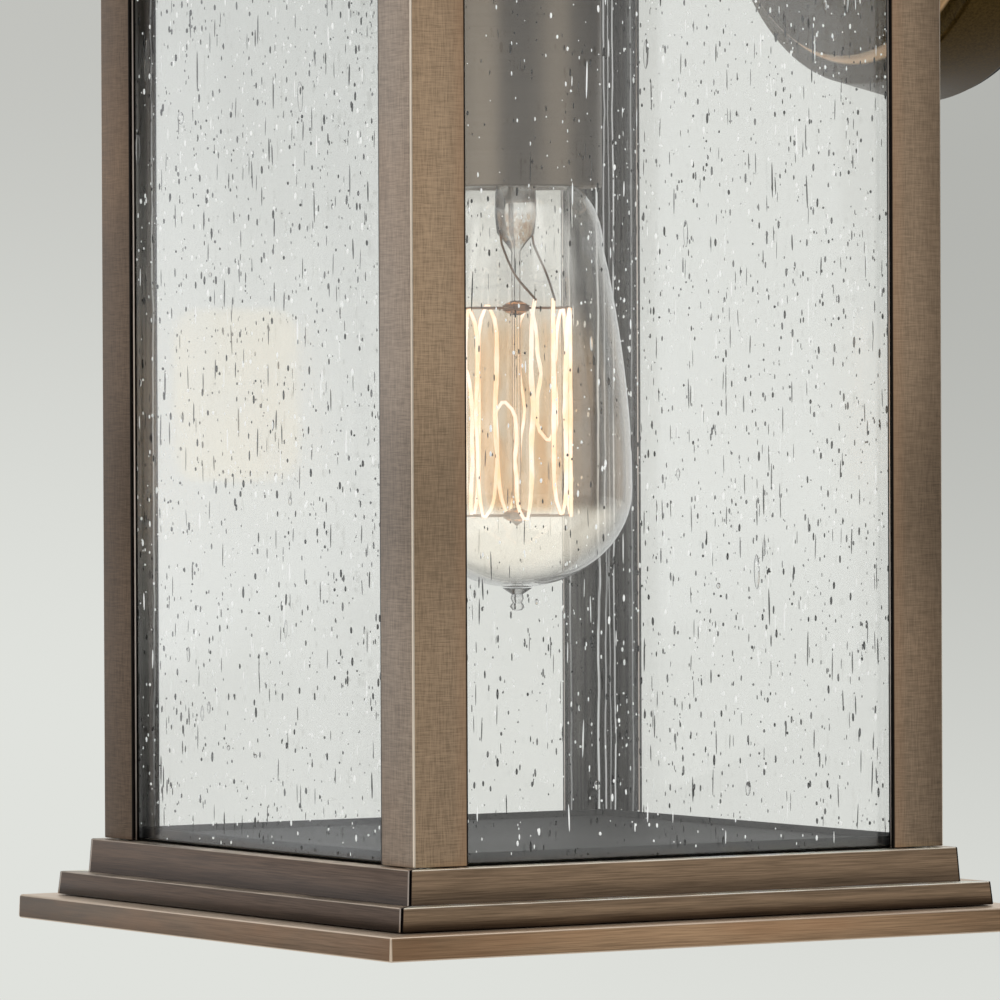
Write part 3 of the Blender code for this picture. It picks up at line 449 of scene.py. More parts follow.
def plain_body(name, colour, roughness, grain=400.0, height=0.00005):
    """A porcelain, rubber, sleeve or vitrite surface, with its own grain."""
    look = finish(name)
    fine = look.noise(grain, grain, grain, 3)
    cloud = look.noise(60, 60, 60, 2)
    tone = look.mix(colour, tuple(part * 0.8 for part in colour), cloud)
    return look.principled({
        "Base Color": tone,
        "Roughness": fine * 0.1 + roughness,
        "Normal": look.bump(fine, height, 0.4),
    })


# Glass and the lamp's finishes


def facing(look, normal=None):
    """0 where a surface faces the eye, rising to 1 at its edge."""
    values = {"Blend": 0.5}
    if normal:
        values["Normal"] = normal
    return look.add("ShaderNodeLayerWeight", values=values, out="Facing")


def mirror_share(look, normal=None):
    """How much a clear sheet mirrors: little face on, much at a glancing view."""
    return facing(look, normal) ** 5.0 * 0.96 + 0.04


def pane_glass():
    """Clear drawn glass with slow upright waves in its skin, near black along the foot. A painted reflection
    of the lamp, a warm patch, glows on the left pane."""
    look = finish("seeded_glass")
    waves = look.noise(110, 110, 18, 2)
    normal = look.bump(waves, 0.00025, 0.4)
    x, y, z = look.axes()
    ragged = (look.noise(300, 300, 160, 3) - 0.5) * 0.35
    # Painted reflection of the lamp: a warm patch on the left pane, given as emission.
    patch_y = AXIS_Y - 0.043
    patch_z = CAGE_MIDDLE + 0.005
    lit = abs((y - patch_y) / 0.021) ** 6.0 + abs((z - patch_z) / 0.025) ** 6.0
    lit = (lit + ragged).step(0.45, 1.15, 1, 0) * x.step(0.005 - HALF, 0.007 - HALF, 1, 0)
    lit = lit * look.noise(60, 60, 40, 2).step(0.3, 0.6, 0.6, 1)
    clear = look.add("ShaderNodeBsdfTransparent", values={"Color": (0.985, 0.99, 0.988)})
    gloss = look.add("ShaderNodeBsdfGlossy", values={"Color": WHITE, "Roughness": 0.12, "Normal": normal})
    share = mirror_share(look, normal) * 1.15
    pane = look.add("ShaderNodeMixShader", values={0: share, 1: clear, 2: gloss})
    warmth = look.add("ShaderNodeEmission", values={"Color": (1.13, 0.94, 0.60), "Strength": 1.0})
    pane = look.add("ShaderNodeMixShader", values={0: lit * 0.1, 1: pane, 2: warmth})
    # A near-black band along the foot of each pane.
    foot = PANE_FOOT + 0.0003
    foot_band = z.step(foot, foot + 0.0003, 1, 0)
    foot_black = look.add("ShaderNodeBsdfDiffuse", values={"Color": (0.008, 0.008, 0.007)})
    return look.surface(look.add("ShaderNodeMixShader", values={0: foot_band, 1: pane, 2: foot_black}))


def seed_glass(name, rim, rim_from, rim_to, heart=WHITE):
    """Solid clear glass whose edge goes dark, as a bubble's or a rod's does."""
    look = finish(name)
    colour = look.mix(heart, rim, facing(look).step(rim_from, rim_to))
    return look.principled({
        "Base Color": colour,
        "Roughness": 0.0,
        "IOR": 1.45,
        "Transmission Weight": 1.0,
    })


def glint_seeds():
    """Bubbles with painted glints, a steady glow: white against what is dark, lost against what is pale."""
    look = finish("bright_seeds")
    edge = facing(look)
    # Painted glints: a steady emission, dimmer towards each seed's edge.
    return look.principled({
        "Base Color": (0.5, 0.5, 0.5),
        "Roughness": edge.step(0, 1, 0.2, 0.5),
        "Emission Color": look.mix((0.60, 0.61, 0.59), (0.40, 0.41, 0.40), edge.step(0.3, 0.9)),
        "Emission Strength": 1.0,
    })


def lamp_glass():
    """The lamp's thin clear glass with the filament's light painted on it: a peach tint and glowing streaks
    beside it, a cream glow below it and pale glowing streaks above it."""
    look = finish("bulb_glass")
    _, _, z = look.axes()
    edge = facing(look)
    middle = edge.step(0.08, 0.4, 1, 0)
    beside = z.step(CAGE_LOW - 0.001, CAGE_LOW + 0.004) * z.step(CAGE_TOP - 0.012, CAGE_TOP + 0.004, 1, 0)
    below = z.step(CAGE_LOW - 0.026, CAGE_LOW - 0.010) * z.step(CAGE_LOW - 0.001, CAGE_LOW + 0.004, 1, 0)
    streaks = look.noise(300, 300, 7, 2).step(0.5, 0.68)
    blotch = look.noise(170, 170, 45, 2).step(0.42, 0.58)
    clear = look.add("ShaderNodeBsdfTransparent", values={"Color": (0.985, 0.98, 0.97)})
    # Painted light: a peach tint, in blotches, where the filament's light falls beside it.
    pale_peach = look.add("ShaderNodeBsdfTransparent", values={"Color": (0.975, 0.935, 0.885)})
    deep_peach = look.add("ShaderNodeBsdfTransparent", values={"Color": (0.955, 0.850, 0.725)})
    peach = look.add("ShaderNodeMixShader", values={0: blotch, 1: pale_peach, 2: deep_peach})
    clear = look.add("ShaderNodeMixShader", values={0: beside * middle, 1: clear, 2: peach})
    gloss = look.add("ShaderNodeBsdfGlossy", values={"Color": WHITE, "Roughness": 0.03})
    skin = look.add("ShaderNodeMixShader", values={0: mirror_share(look) * 1.5, 1: clear, 2: gloss})
    cream = edge.step(0.3, 0.75, 1, 0) * below
    above = z.step(CAGE_TOP + 0.003, CAGE_TOP + 0.012) * look.noise(260, 260, 14, 2).step(0.48, 0.62)
    # Painted light of the filament on the glass, as emission: beside it, below it and above it.
    glows = [
        (beside * (middle * 0.5 + streaks * 0.8) * 0.06, (1.25, 0.88, 0.52)),
        (cream * 0.12, (1.45, 1.34, 1.12)),
        (above * middle * 0.08, (1.40, 1.38, 1.30)),
    ]
    for share, colour in glows:
        glow = look.add("ShaderNodeEmission", values={"Color": colour, "Strength": 1.0})
        skin = look.add("ShaderNodeMixShader", values={0: share, 1: skin, 2: glow})
    return look.surface(skin)


def filament_glow():
    """White hot in the middle of each strand, orange at its edges."""
    look = finish("filament")
    hot = look.noise(220, 220, 160, 2)
    middle = look.mix((1.0, 0.88, 0.66), (1.0, 0.98, 0.93), hot.step(0.35, 0.6))
    colour = look.mix(middle, (0.85, 0.36, 0.10), facing(look).step(0.45, 0.8))
    return look.principled({
        "Base Color": (0.2, 0.1, 0.05),
        "Roughness": 0.5,
        "Emission Color": colour,
        "Emission Strength": 1.3,
    })


# Modelling


def pick(*objects):
    """Selects these objects and no others. The first becomes the active one."""
    bpy.ops.object.select_all(action="DESELECT")
    for obj in objects:
        obj.select_set(True)
    bpy.context.view_layer.objects.active = objects[0]


def start_edit(obj):
    pick(obj)
    bpy.ops.object.mode_set(mode="EDIT")


def end_edit():
    bpy.ops.object.mode_set(mode="OBJECT")


def apply_modifiers(obj):
    pick(obj)
    for modifier in list(obj.modifiers):
        bpy.ops.object.modifier_apply(modifier=modifier.name)


def settle(obj):
    """Moves an object's place, turn and scale into its mesh."""
    pick(obj)
    bpy.ops.object.transform_apply(location=True, rotation=True, scale=True)


def smooth(obj):
    pick(obj)
    bpy.ops.object.shade_smooth_by_angle(angle=math.radians(35))


def wear(obj, look):
    obj.data.materials.clear()
    obj.data.materials.append(look)


def belong(obj, node, look):
    """Rides with the node's body and wears the given look."""
    wear(obj, look)
    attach(obj, body_of[node])


def stand_for(obj, node, look):
    """Belongs with the node and is shown in its place."""
    belong(obj, node, look)
    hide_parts(node)


def softened(node, look, edge=0.00025):
    """The node's own shape with its sharp edges eased."""
    obj = bpy.data.objects.new(f"{node}_finished", nodes[node].data.copy())
    bpy.context.scene.collection.objects.link(obj)
    start_edit(obj)
    bpy.ops.mesh.select_all(action="SELECT")
    bpy.ops.mesh.remove_doubles(threshold=0.00001)
    bpy.ops.mesh.dissolve_limited(angle_limit=math.radians(0.5))
    end_edit()
    bevel = obj.modifiers.new("eased_edges", "BEVEL")
    bevel.width = edge
    bevel.segments = 2
    bevel.limit_method = "ANGLE"
    bevel.angle_limit = math.radians(28)
    apply_modifiers(obj)
    smooth(obj)
    stand_for(obj, node, look)


def lathe(name, profile, steps=96, wall=0.0, centre=CENTRE, turn=None):
    """Spins (radius, height) points about an upright axis. With a wall, the outline is the outer skin."""
    bpy.ops.mesh.primitive_plane_add(size=0.001)
    obj = bpy.context.object
    obj.name = name
    start_edit(obj)
    bpy.ops.mesh.select_all(action="SELECT")
    bpy.ops.mesh.merge(type="CENTER")
    radius, height = profile[0]
    bpy.ops.transform.translate(value=(radius, 0, height))
    for before, after in zip(profile, profile[1:]):
        move = (after[0] - before[0], 0, after[1] - before[1])
        bpy.ops.mesh.extrude_region_move(TRANSFORM_OT_translate={"value": move})
    bpy.ops.mesh.select_all(action="SELECT")
    bpy.ops.mesh.spin(steps=steps, angle=2 * math.pi, center=(0, 0, 0), axis=(0, 0, 1))
    bpy.ops.mesh.select_all(action="SELECT")
    bpy.ops.mesh.remove_doubles(threshold=0.00001)
    bpy.ops.mesh.normals_make_consistent(inside=False)
    end_edit()
    outward = sum(face.normal.xy.dot(face.center.xy) * face.area for face in obj.data.polygons)
    if outward < 0:
        obj.data.flip_normals()
    if wall:
        solid = obj.modifiers.new("wall", "SOLIDIFY")
        solid.thickness = wall
        solid.offset = -1
        solid.use_even_offset = True
        apply_modifiers(obj)
    if turn:
        obj.data.transform(turn)
    obj.data.transform(Matrix.Translation(centre))
    smooth(obj)
    return obj


def arc(radius, centre_r, centre_z, start, end, count):
    """Points on a circle, from one angle to another in degrees, measured up from straight out."""
    points = []
    for step in range(count + 1):
        turn = math.radians(start + (end - start) * step / count)
        points.append((centre_r + radius * math.cos(turn), centre_z + radius * math.sin(turn)))
    return points


# Glass panes and their seeds

PANES = ("front", "back", "left", "right")
SEED_RIM = (0.012, 0.013, 0.015)
SEED_DEPTH = 0.0015  # most that a seed takes of the glass's thickness


def pane_piece(side, look):
    """A pane with eased edges and a slightly wavy skin."""
    low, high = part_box(f"glass_{side}")
    size = high - low
    bpy.ops.mesh.primitive_cube_add(size=1, location=(low + high) / 2, scale=size)
    obj = bpy.context.object
    obj.name = f"pane_{side}"
    settle(obj)
    edge = obj.modifiers.new("arris", "BEVEL")
    edge.width = 0.0003
    edge.segments = 2
    apply_modifiers(obj)
    smooth(obj)
    stand_for(obj, f"glass_{side}", look)


def seed_shape(name, rings):
    bpy.ops.mesh.primitive_uv_sphere_add(segments=rings + 2, ring_count=rings, radius=0.5)
    obj = bpy.context.object
    obj.name = name
    bpy.ops.object.shade_smooth()
    return obj


def scatter_seeds(side, kinds, name, look):
    """Bubbles drawn out along the pane's height, all inside the glass. Kinds are (count, shape, least and
    most width, least and most draw)."""
    low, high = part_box(f"glass_{side}")
    size = high - low
    wide = 0 if size.x > size.y else 1
    deep = 1 - wide
    copies = []
    for count, shape, widths, draws in kinds:
        for _ in range(count):
            width = widths[0] + (widths[1] - widths[0]) * random.random() ** 2.4
            length = width * random.uniform(*draws)
            place = [0.0, 0.0, random.uniform(low.z + length, high.z - length)]
            place[wide] = random.uniform(low[wide] + 0.002, high[wide] - 0.002)
            place[deep] = (low[deep] + high[deep]) / 2 + random.uniform(-0.0004, 0.0004)
            sides = [width, width]
            sides[deep] = min(width, SEED_DEPTH)
            scale = Matrix.Diagonal((*sides, length, 1))
            lean = Matrix.Rotation(random.uniform(-0.05, 0.05), 4, "XY"[deep])
            mesh = shape.data.copy()
            mesh.transform(Matrix.Translation(place) @ lean @ scale)
            copy = bpy.data.objects.new("seed", mesh)
            bpy.context.scene.collection.objects.link(copy)
            copies.append(copy)
    pick(*copies)
    bpy.ops.object.join()
    obj = bpy.context.object
    obj.name = f"{name}_{side}"
    belong(obj, f"glass_{side}", look)


def make_glass():
    look = pane_glass()
    dark = seed_glass("dark_seeds", SEED_RIM, 0.0, 0.10, (0.30, 0.30, 0.30))
    bright = glint_seeds()
    fine = seed_shape("fine_seed", 4)
    drawn = seed_shape("drawn_seed", 6)
    open_seed = seed_shape("open_seed", 12)
    dark_kinds = [
        (1050, fine, (0.00026, 0.00078), (0.9, 4.2)),
        (230, drawn, (0.00020, 0.00044), (5.0, 26.0)),
    ]
    bright_kinds = [
        (1000, fine, (0.00028, 0.00080), (0.9, 3.2)),
        (80, drawn, (0.00022, 0.00048), (5.0, 24.0)),
    ]
    ring_kinds = [(9, open_seed, (0.0009, 0.0021), (1.2, 7.0))]
    ring = seed_glass("ring_seeds", SEED_RIM, 0.30, 0.55)
    for side in PANES:
        pane_piece(side, look)
        scatter_seeds(side, dark_kinds, "dark_seeds", dark)
        scatter_seeds(side, bright_kinds, "bright_seeds", bright)
        scatter_seeds(side, ring_kinds, "ring_seeds", ring)
    for shape in (fine, drawn, open_seed):
        bpy.data.objects.remove(shape)


# The lamp


def lamp_outline():
    """The envelope's outer skin, from the neck down to the tip."""
    neck_h, shoulder_h, cone_h, dome_h = 0.011, 0.0191, 0.0655, 0.0273
    neck_r, shoulder_r = 0.0114, 0.0242
    neck_z = LAMP_HIGH.z
    shoulder_z = neck_z - neck_h
    cone_z = shoulder_z - shoulder_h
    dome_z = cone_z - cone_h
    points = [(neck_r, neck_z), (neck_r, shoulder_z)]
    for step in range(1, 13):
        turn = math.radians(step * 7.5)
        radius = neck_r + (shoulder_r - neck_r) * math.sin(turn)
        points.append((radius, shoulder_z - shoulder_h * (1 - math.cos(turn))))
    for step in range(1, 12):
        share = step / 12
        radius = shoulder_r + (LAMP_R - shoulder_r) * math.sin(share * math.pi / 2) ** 0.9
        points.append((radius, cone_z - cone_h * share))
    for step in range(23):
        turn = math.radians(step * 4)
        points.append((LAMP_R * math.cos(turn), dome_z - dome_h * math.sin(turn)))
    return points


def make_envelope():
    """The blown envelope and the sealed tip below it."""
    outline = lamp_outline()
    low = outline[-1][1]
    outline[-1] = (0.0, low)
    obj = lathe("bulb_envelope", outline, steps=96, wall=0.0008)
    stand_for(obj, "bulb_glass", lamp_glass())
    tip = LAMP_LOW.z
    drop = [(0.0, low - 0.0001), (0.0042, low - 0.0001), (0.0030, low - 0.0009), (0.0015, low - 0.0019)]
    drop += [(0.0018, low - 0.0030), (0.0013, low - 0.0042), (0.0021, tip + 0.0012), (0.0013, tip + 0.0002)]
    obj = lathe("bulb_tip", drop + [(0.0, tip)], steps=24)
    belong(obj, "bulb_glass", seed_glass("tip_glass", (0.03, 0.03, 0.03), 0.3, 0.6))


def stem_glass():
    """Clear glass with dark edges, stained brown by heat at the press and at the two buttons."""
    look = finish("stem_glass")
    _, _, z = look.axes()
    mottle = look.noise(700, 700, 500, 2).step(0.42, 0.55)
    press = abs(z - (CAGE_TOP + 0.0215)).step(0.0035, 0.0055, 1, 0) * mottle
    button = abs(z - CAGE_TOP).step(0.0012, 0.0018, 1, 0) + abs(z - CAGE_LOW).step(0.0012, 0.0018, 1, 0)
    colour = look.mix(WHITE, (0.22, 0.13, 0.07), facing(look).step(0.15, 0.7))
    colour = look.mix(colour, (0.60, 0.36, 0.18), press * 0.85)
    colour = look.mix(colour, (0.70, 0.34, 0.13), button)
    return look.principled({
        "Base Color": colour,
        "Roughness": 0.0,
        "IOR": 1.5,
        "Transmission Weight": 1.0,
    })


def make_stem(look):
    """Flared tube, flat press and a rod with a button for each set of supports."""
    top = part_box("bulb_stem")[1].z
    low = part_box("bulb_stem")[0].z
    press = CAGE_TOP + 0.0175
    profile = [(0.0, top), (0.0066, top), (0.0058, top - 0.006), (0.0054, top - 0.010)]
    profile += [(0.0053, press + 0.008), (0.0046, press + 0.003), (0.0026, press), (0.0013, press - 0.002)]
    for middle in (CAGE_TOP, CAGE_LOW):
        profile += [(0.0012, middle + 0.002)]
        profile += arc(0.0014, 0.0022, middle, 80, -80, 6)
        profile += [(0.0012, middle - 0.002)]
    profile += [(0.0010, low + 0.0008), (0.0, low)]
    obj = lathe("bulb_mount_glass", profile, steps=32)
    flatten = press + 0.005
    for vert in obj.data.vertices:
        near = 1 - min(1.0, abs(vert.co.z - flatten) / 0.007)
        squeeze = near * near * (3 - 2 * near)
        vert.co.y = AXIS_Y + (vert.co.y - AXIS_Y) * (1 + 0.35 * squeeze)
        vert.co.x *= 1 - 0.55 * squeeze
    stand_for(obj, "bulb_stem", look)


LEGS = 16
STEPS = 16  # along each leg
SHORT_TURNS = (4, 9, 13)


def filament_turns():
    """Heights where the filament starts, doubles back and ends."""
    top = CAGE_TOP + 0.0008
    low = CAGE_LOW - 0.0008
    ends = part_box("bulb_filament")[1].z + 0.0012
    turns = [ends]
    for leg in range(LEGS - 1):
        short = random.uniform(0.016, 0.030) if leg in SHORT_TURNS else random.uniform(0, 0.0016)
        turns.append(low + short if leg % 2 == 0 else top - short)
    turns.append(ends)
    return turns


def make_filament(look):
    """A fine zig-zag round the cage. Some of its turns stop short, and each run hangs a little slack."""
    curve = bpy.data.curves.new("filament_run", "CURVE")
    curve.dimensions = "3D"
    curve.bevel_depth = 0.00055
    curve.bevel_resolution = 2
    curve.use_fill_caps = True
    points = []
    weights = []
    turns = filament_turns()
    for leg in range(LEGS):
        turn = (leg + 0.5) * 2 * math.pi / LEGS
        start, end = turns[leg], turns[leg + 1]
        slack = random.uniform(-0.0020, 0.0016)
        sway = random.uniform(-0.0008, 0.0008)
        weight = random.uniform(0.75, 1.55)
        for step in range(STEPS + 1):
            share = step / STEPS
            bow = math.sin(share * math.pi)
            ripple = math.sin(share * math.pi * 3) * sway + math.sin(share * math.pi * 7) * sway * 0.35
            reach = CAGE_R + min(slack, 0) * bow - 0.0007
            gather = (2 * share - 1) ** 7 * math.pi / LEGS * 0.8 * CAGE_R
            if leg == 0 and share < 0.5 or leg == LEGS - 1 and share > 0.5:
                gather = 0
            side = ripple + slack * bow * 0.8 + gather
            x = reach * math.cos(turn) - side * math.sin(turn)
            y = reach * math.sin(turn) + side * math.cos(turn)
            points.append((x, AXIS_Y + y, start + (end - start) * share))
            weights.append(1 + (weight * random.uniform(0.85, 1.2) - 1) * bow)
    spline = curve.splines.new("POLY")
    spline.points.add(len(points) - 1)
    for point, place, weight in zip(spline.points, points, weights):
        point.co = (*place, 1)
        point.radius = weight
    obj = bpy.data.objects.new("bulb_filament_run", curve)
    bpy.context.scene.collection.objects.link(obj)
    pick(obj)
    bpy.ops.object.convert(target="MESH")
    obj = bpy.context.object
    start_edit(obj)
    bpy.ops.mesh.select_all(action="SELECT")
    bpy.ops.mesh.remove_doubles(threshold=0.000001)
    end_edit()
    bpy.ops.object.shade_smooth()
    stand_for(obj, "bulb_filament", look)



# Turned metal pieces


def make_cover(look):
    top, mouth = COVER_HIGH.z, COVER_LOW.z
    profile = [(0.0051, top), (COVER_R - 0.001, top)]
    profile += arc(0.001, COVER_R - 0.001, top - 0.001, 75, 0, 4)
    profile += [(COVER_R, mouth + 0.0004), (COVER_R - 0.0003, mouth)]
    obj = lathe("socket_cover_shell", profile, wall=0.0012)
    stand_for(obj, "socket_cover", look)


def make_canopy(look):
    low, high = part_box("canopy")
    depth = -low.y
    rim = -high.y
    edge_r = CANOPY_R - CANOPY_TAPER
    face_r = edge_r - CANOPY_COVE
    side = depth - 0.005
    profile = [(ARM_HOLE_R, depth), (face_r - 0.0008, depth)]
    profile += arc(0.0008, face_r - 0.0008, depth - 0.0008, 80, 0, 4)
    profile += [(face_r + 0.0006, side + 0.0022), (face_r + 0.0022, side + 0.0008)]
    profile += [(face_r + 0.0044, side + 0.0004), (edge_r - 0.0016, side)]
    profile += arc(0.0014, edge_r - 0.0015, side - 0.0014, 85, 5, 5)
    profile += [(CANOPY_R - 0.0001, rim + 0.0006), (CANOPY_R - 0.0003, rim)]
    obj = lathe("canopy_shell", profile, steps=160, wall=0.0015, centre=WALL_ORIGIN, turn=WALL_AXIS)
    stand_for(obj, "canopy", look)


def make_gasket(look):
    low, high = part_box("canopy_gasket")
    near, far, reach = -high.y, -low.y, high.x
    inside = reach - 0.012
    profile = [(inside, far), (reach - 0.0004, far), (reach - 0.0002, near), (inside, near)]
    profile.append(profile[0])
    obj = lathe("canopy_gasket_ring", profile, steps=128, centre=WALL_ORIGIN, turn=WALL_AXIS)
    stand_for(obj, "canopy_gasket", look)


def make_finial(look):
    low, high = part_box("finial")
    radius = high.x
    ball_z = high.z - radius
    profile = [(0.0, high.z)] + arc(radius, 0, ball_z, 84, -62, 20)
    profile += [(0.0058, low.z + 0.0105), (0.0064, low.z + 0.0085), (0.0096, low.z + 0.0062)]
    profile += [(0.0118, low.z + 0.0044), (radius - 0.0002, low.z + 0.0032)]
    profile += [(radius, low.z + 0.0026), (radius, low.z + 0.0003), (radius - 0.0003, low.z)]
    profile += [(0.0054, low.z), (0.0052, low.z + 0.0003), (0.0052, low.z + 0.012), (0.0, low.z + 0.012)]
    obj = lathe("finial_ball", profile, steps=72)
    stand_for(obj, "finial", look)


def make_cap_nut(side, look):
    low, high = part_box(f"cap_nut_{side}")
    middle = Vector(((low.x + high.x) / 2, 0, 0))
    face = -high.y
    tip = -low.y
    radius = (high.x - low.x) / 2
    dome = radius * 0.75
    profile = [(0.0, tip)] + arc(dome, 0, tip - dome, 80, 4, 10)
    profile += [(dome + 0.0006, face + 0.0036), (radius - 0.0004, face + 0.0030), (radius, face + 0.0026)]
    profile += [(radius, face + 0.0003), (radius - 0.0003, face), (0.0025, face), (0.0025, tip - 0.0025)]
    profile += [(0.0, tip - 0.0025)]
    obj = lathe(f"cap_nut_{side}_turned", profile, steps=48, centre=middle, turn=WALL_AXIS)
    stand_for(obj, f"cap_nut_{side}", look)


def make_arm(look):
    low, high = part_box("arm_tube")
    radius = high.x
    start, end = -high.y, -low.y
    outer = [(radius, end), (radius, start)]
    tube = lathe("arm_tube_drawn", outer, steps=64, wall=0.0015, centre=WALL_ORIGIN, turn=WALL_AXIS)
    stand_for(tube, "arm_tube", look)
    low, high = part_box("arm_collar_canopy")
    face, front, reach = -high.y, -low.y, high.x
    profile = [(ARM_HOLE_R, front), (0.0104, front), (0.0112, front - 0.0008)]
    profile += [(0.0126, front - 0.0020), (reach - 0.0006, face + 0.0022), (reach, face + 0.0016)]
    profile += [(reach, face), (ARM_HOLE_R, face), (ARM_HOLE_R, front)]
    collar = lathe("arm_collar_turned", profile, steps=64, centre=WALL_ORIGIN, turn=WALL_AXIS)
    stand_for(collar, "arm_collar_canopy", look)
    low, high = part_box("arm_collar_frame")
    face, front, reach = -high.y, -low.y, high.x
    profile = [(ARM_HOLE_R, front), (reach - 0.0003, front), (reach, front - 0.0003), (reach, face + 0.0008)]
    profile += [(reach - 0.0008, face), (ARM_HOLE_R, face), (ARM_HOLE_R, front)]
    ring = lathe("frame_collar_turned", profile, steps=64, centre=WALL_ORIGIN, turn=WALL_AXIS)
    stand_for(ring, "arm_collar_frame", look)


# Putting it together


def make_metal():
    posts = post_bronze()
    for node in nodes:
        if node.startswith("post_"):
            softened(node, posts, 0.00032)
    # Each step: lowest, highest, tone, and share of painted shade at its foot.
    upper = (DECK - UPPER_STEP_H, DECK, 1.0, 0.62)
    lower = (STEP, DECK - UPPER_STEP_H, 0.85, 0.9)
    steps = moulding_bronze("stepped_bronze_painted_light", [lower, upper])
    for side in PANES:
        softened(f"base_moulding_{side}", steps, 0.0002)
    softened("base_plate", plate_bronze(), 0.0003)
    head = sheet_bronze()
    for side in PANES:
        softened(f"frieze_{side}", head, 0.0002)
    softened("roof", head, 0.0003)
    softened("roof_cap", head, 0.0003)
    make_finial(head)
    make_arm(head)
    make_cover(cover_bronze())
    dark = canopy_bronze()
    make_canopy(dark)
    make_gasket(plain_body("gasket_foam", (0.03, 0.03, 0.032), 0.7, 900.0, 0.0002))
    make_cap_nut("left", dark)
    make_cap_nut("right", dark)
    grey = floor_bronze()
    softened("floor_tray", grey, 0.0002)
    softened("glass_retainer", grey, 0.0002)


SMALL_FINISHES = {
    "zinc_steel": lambda: plain_metal("zinc_steel", (0.58, 0.58, 0.56), 0.3),
    "green_steel": lambda: plain_metal("green_steel", (0.06, 0.22, 0.10), 0.4),
    "plain_brass": lambda: plain_metal("plain_brass", (0.66, 0.47, 0.20), 0.26),
    "bare_copper": lambda: plain_metal("bare_copper", (0.72, 0.36, 0.20), 0.3),
    "solder": lambda: plain_metal("solder", (0.62, 0.62, 0.60), 0.35),
    "support_wire": lambda: plain_metal("support_wire", (0.30, 0.17, 0.09), 0.35),
    "porcelain": lambda: plain_body("porcelain", (0.80, 0.79, 0.74), 0.22),
    "live_sleeve": lambda: plain_body("live_sleeve", (0.02, 0.02, 0.02), 0.4),
    "neutral_sleeve": lambda: plain_body("neutral_sleeve", (0.78, 0.78, 0.75), 0.4),
    "black_vitrite": lambda: plain_body("black_vitrite", (0.012, 0.012, 0.014), 0.15),
}


def dress_the_rest():
    """Gives each remaining node the finish of its slot."""
    made = {}
    for name, obj in nodes.items():
        if obj.hide_render:
            continue
        slot = slot_of[name]
        if slot not in SMALL_FINISHES:
            continue
        if slot not in made:
            made[slot] = SMALL_FINISHES[slot]()
        wear(obj, made[slot])


# Studio

VIEW_TURN = math.radians(58.349)
VIEW_DROP = math.radians(0.7413)
VIEW_ROLL = math.radians(-0.2417)
VIEW_FROM = (1.7119, -1.2012, -0.16525)
AHEAD = Vector((-math.sin(VIEW_TURN), math.cos(VIEW_TURN), 0))
ACROSS = Vector((math.cos(VIEW_TURN), math.sin(VIEW_TURN), 0))
MIRRORED_RIGHT = Vector((-AHEAD.x, AHEAD.y, 0))
MIRRORED_LEFT = Vector((AHEAD.x, -AHEAD.y, 0))
MIRRORED_CORNER = Vector((AHEAD.y, AHEAD.x, 0))
MIRRORED_COVER = Vector((0.231, -0.973, 0))


def make_camera():
    data = bpy.data.cameras.new("camera")
    data.sensor_width = 36
    data.lens = 263.64
    data.clip_start = 0.1
    data.clip_end = 50
    camera = bpy.data.objects.new("camera", data)
    forward = AHEAD * math.cos(VIEW_DROP) - Vector((0, 0, 1)) * math.sin(VIEW_DROP)
    level_up = ACROSS.cross(forward)
    right = ACROSS * math.cos(VIEW_ROLL) + level_up * math.sin(VIEW_ROLL)
    up = level_up * math.cos(VIEW_ROLL) - ACROSS * math.sin(VIEW_ROLL)
    turn = Matrix((right, up, -forward)).transposed()
    camera.matrix_world = Matrix.Translation(VIEW_FROM) @ turn.to_4x4()
    bpy.context.scene.collection.objects.link(camera)
    bpy.context.scene.camera = camera


def toward(look, ray, direction, start, full):
    """1 for rays near a direction, falling to 0 away from it."""
    near = look.add("ShaderNodeVectorMath", {"operation": "DOT_PRODUCT"}, {0: ray, 1: tuple(direction)}, out=1)
    return near.step(start, full)


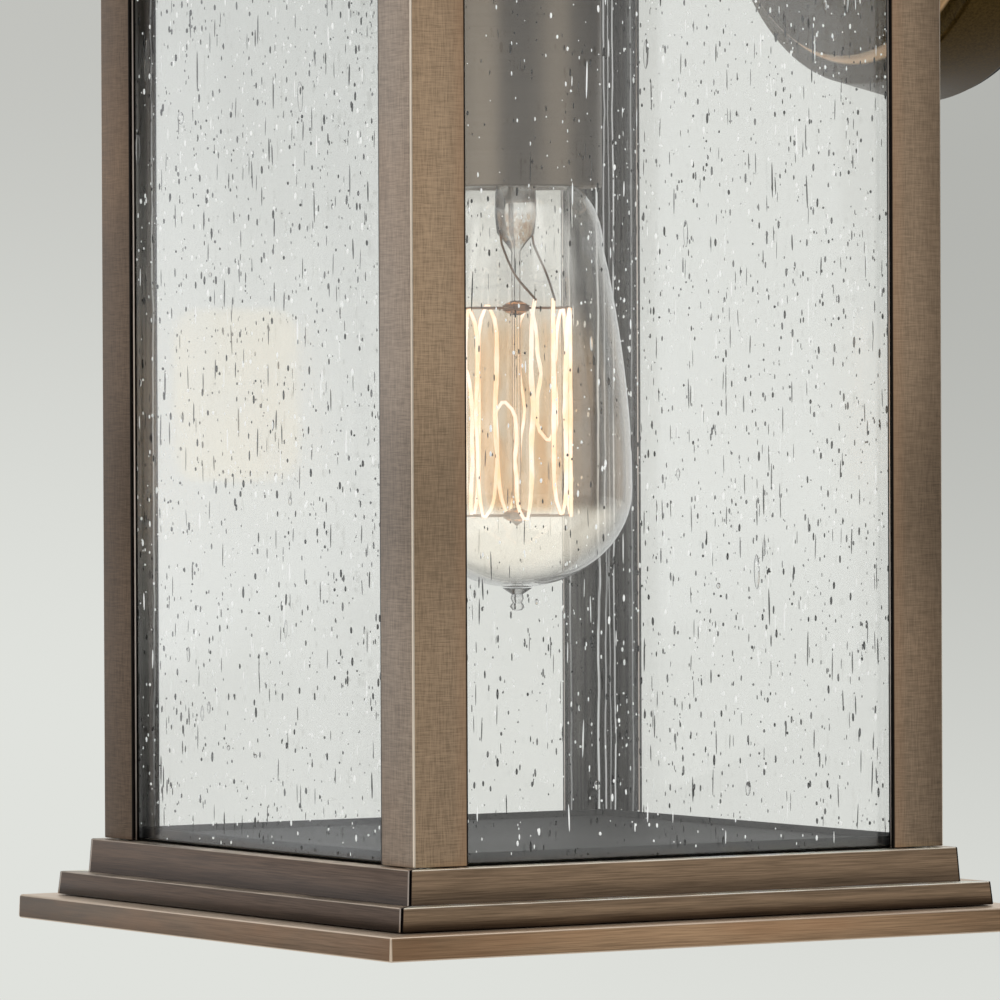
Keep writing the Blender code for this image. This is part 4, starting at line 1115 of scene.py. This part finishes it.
def make_world():
    """What is seen behind the lantern, and the softly lit room that it mirrors."""
    world = bpy.data.worlds.new("studio")
    bpy.context.scene.world = world
    look = Finish(world, "ShaderNodeOutputWorld")
    ray = look.add("ShaderNodeTexCoord", out="Generated")
    split = look.add("ShaderNodeSeparateXYZ", values={0: ray}).socket.node
    height = Val(look, split.outputs[2])
    side = look.add("ShaderNodeVectorMath", {"operation": "DOT_PRODUCT"}, {0: ray, 1: tuple(ACROSS)}, out=1)
    low_tone = (0.745, 0.760, 0.723)
    left = look.mix(low_tone, (0.535, 0.540, 0.512), height.step(-0.045, 0.060))
    right = look.mix(low_tone, (0.450, 0.455, 0.430), height.step(-0.110, 0.035))
    seen = look.mix(left, right, side.step(-0.035, 0.06))
    pale = look.mix((0.748, 0.748, 0.712), (0.680, 0.680, 0.646), height.step(-0.05, 0.05))
    pale = look.mix(pale, (0.62, 0.625, 0.595), height.step(-0.01, 0.062) * side.step(-0.01, 0.0, 1, 0))
    through = look.add("ShaderNodeLightPath", out="Transparent Depth").math("GREATER_THAN", 0.5)
    seen = look.mix(seen, pale, through)
    room = look.mix((0.10, 0.10, 0.105), (0.60, 0.60, 0.59), toward(look, ray, AHEAD, 0.6, 0.95))
    room = look.mix(room, WHITE, height.step(0.3, 0.9))
    room = look.mix(room, (1.15, 1.13, 1.08), toward(look, ray, MIRRORED_RIGHT, 0.80, 0.96))
    room = look.mix(room, (1.06, 1.08, 1.10), toward(look, ray, MIRRORED_LEFT, 0.80, 0.96))
    room = look.mix(room, (0.85, 0.83, 0.78), toward(look, ray, MIRRORED_COVER, 0.78, 0.97))
    room = look.mix(room, (1.5, 1.47, 1.42), toward(look, ray, MIRRORED_CORNER, 0.965, 0.995))
    straight = look.add("ShaderNodeLightPath", out="Is Camera Ray")
    passed = look.add("ShaderNodeLightPath", out="Is Transmission Ray")
    shown = look.mix(room, seen, straight.math("MAXIMUM", passed))
    look.surface(look.add("ShaderNodeBackground", values={"Color": shown, "Strength": 1.0}))


def softbox(name, towards, height, size, level, colour, distance=2.4):
    """A large soft lamp that faces the lantern. Its own outline isn't mirrored in the glass."""
    data = bpy.data.lights.new(name, "AREA")
    data.shape = "RECTANGLE"
    data.size, data.size_y = size
    data.energy = level * math.pi * size[0] * size[1]
    data.color = colour
    obj = bpy.data.objects.new(name, data)
    aim = Vector((0, AXIS_Y, -0.15))
    place = aim + towards.normalized() * distance + Vector((0, 0, height))
    obj.location = place
    obj.rotation_euler = (aim - place).to_track_quat("-Z", "Y").to_euler()
    obj.visible_camera = False
    obj.visible_glossy = False
    bpy.context.scene.collection.objects.link(obj)


def make_lights():
    softbox("softbox_right", MIRRORED_RIGHT, 0.6, (1.4, 1.4), 0.5, (1.0, 0.96, 0.9))
    softbox("softbox_top", Vector((0.1, -0.2, 0)), 2.2, (1.4, 1.4), 0.8, (1.0, 1.0, 1.0), 0.6)


def make_floor():
    """A pale round floor, well below the lantern."""
    bpy.ops.mesh.primitive_circle_add(vertices=96, radius=8, fill_type="NGON", location=(0, 0, -1.25))
    floor = bpy.context.object
    floor.name = "floor"
    look = finish("pale_floor")
    grain = look.noise(3, 3, 3, 3)
    colour = look.mix((0.74, 0.74, 0.72), (0.78, 0.78, 0.76), grain)
    wear(floor, look.principled({"Base Color": colour, "Roughness": 0.6}))


make_camera()
make_metal()
make_glass()
make_envelope()
make_stem(stem_glass())
make_filament(filament_glow())
dress_the_rest()
make_floor()
make_world()
make_lights()
scene = bpy.context.scene
scene.view_settings.view_transform = "Standard"
scene.cycles.transparent_max_bounces = 48
scene.cycles.max_bounces = 24
scene.cycles.transmission_bounces = 24
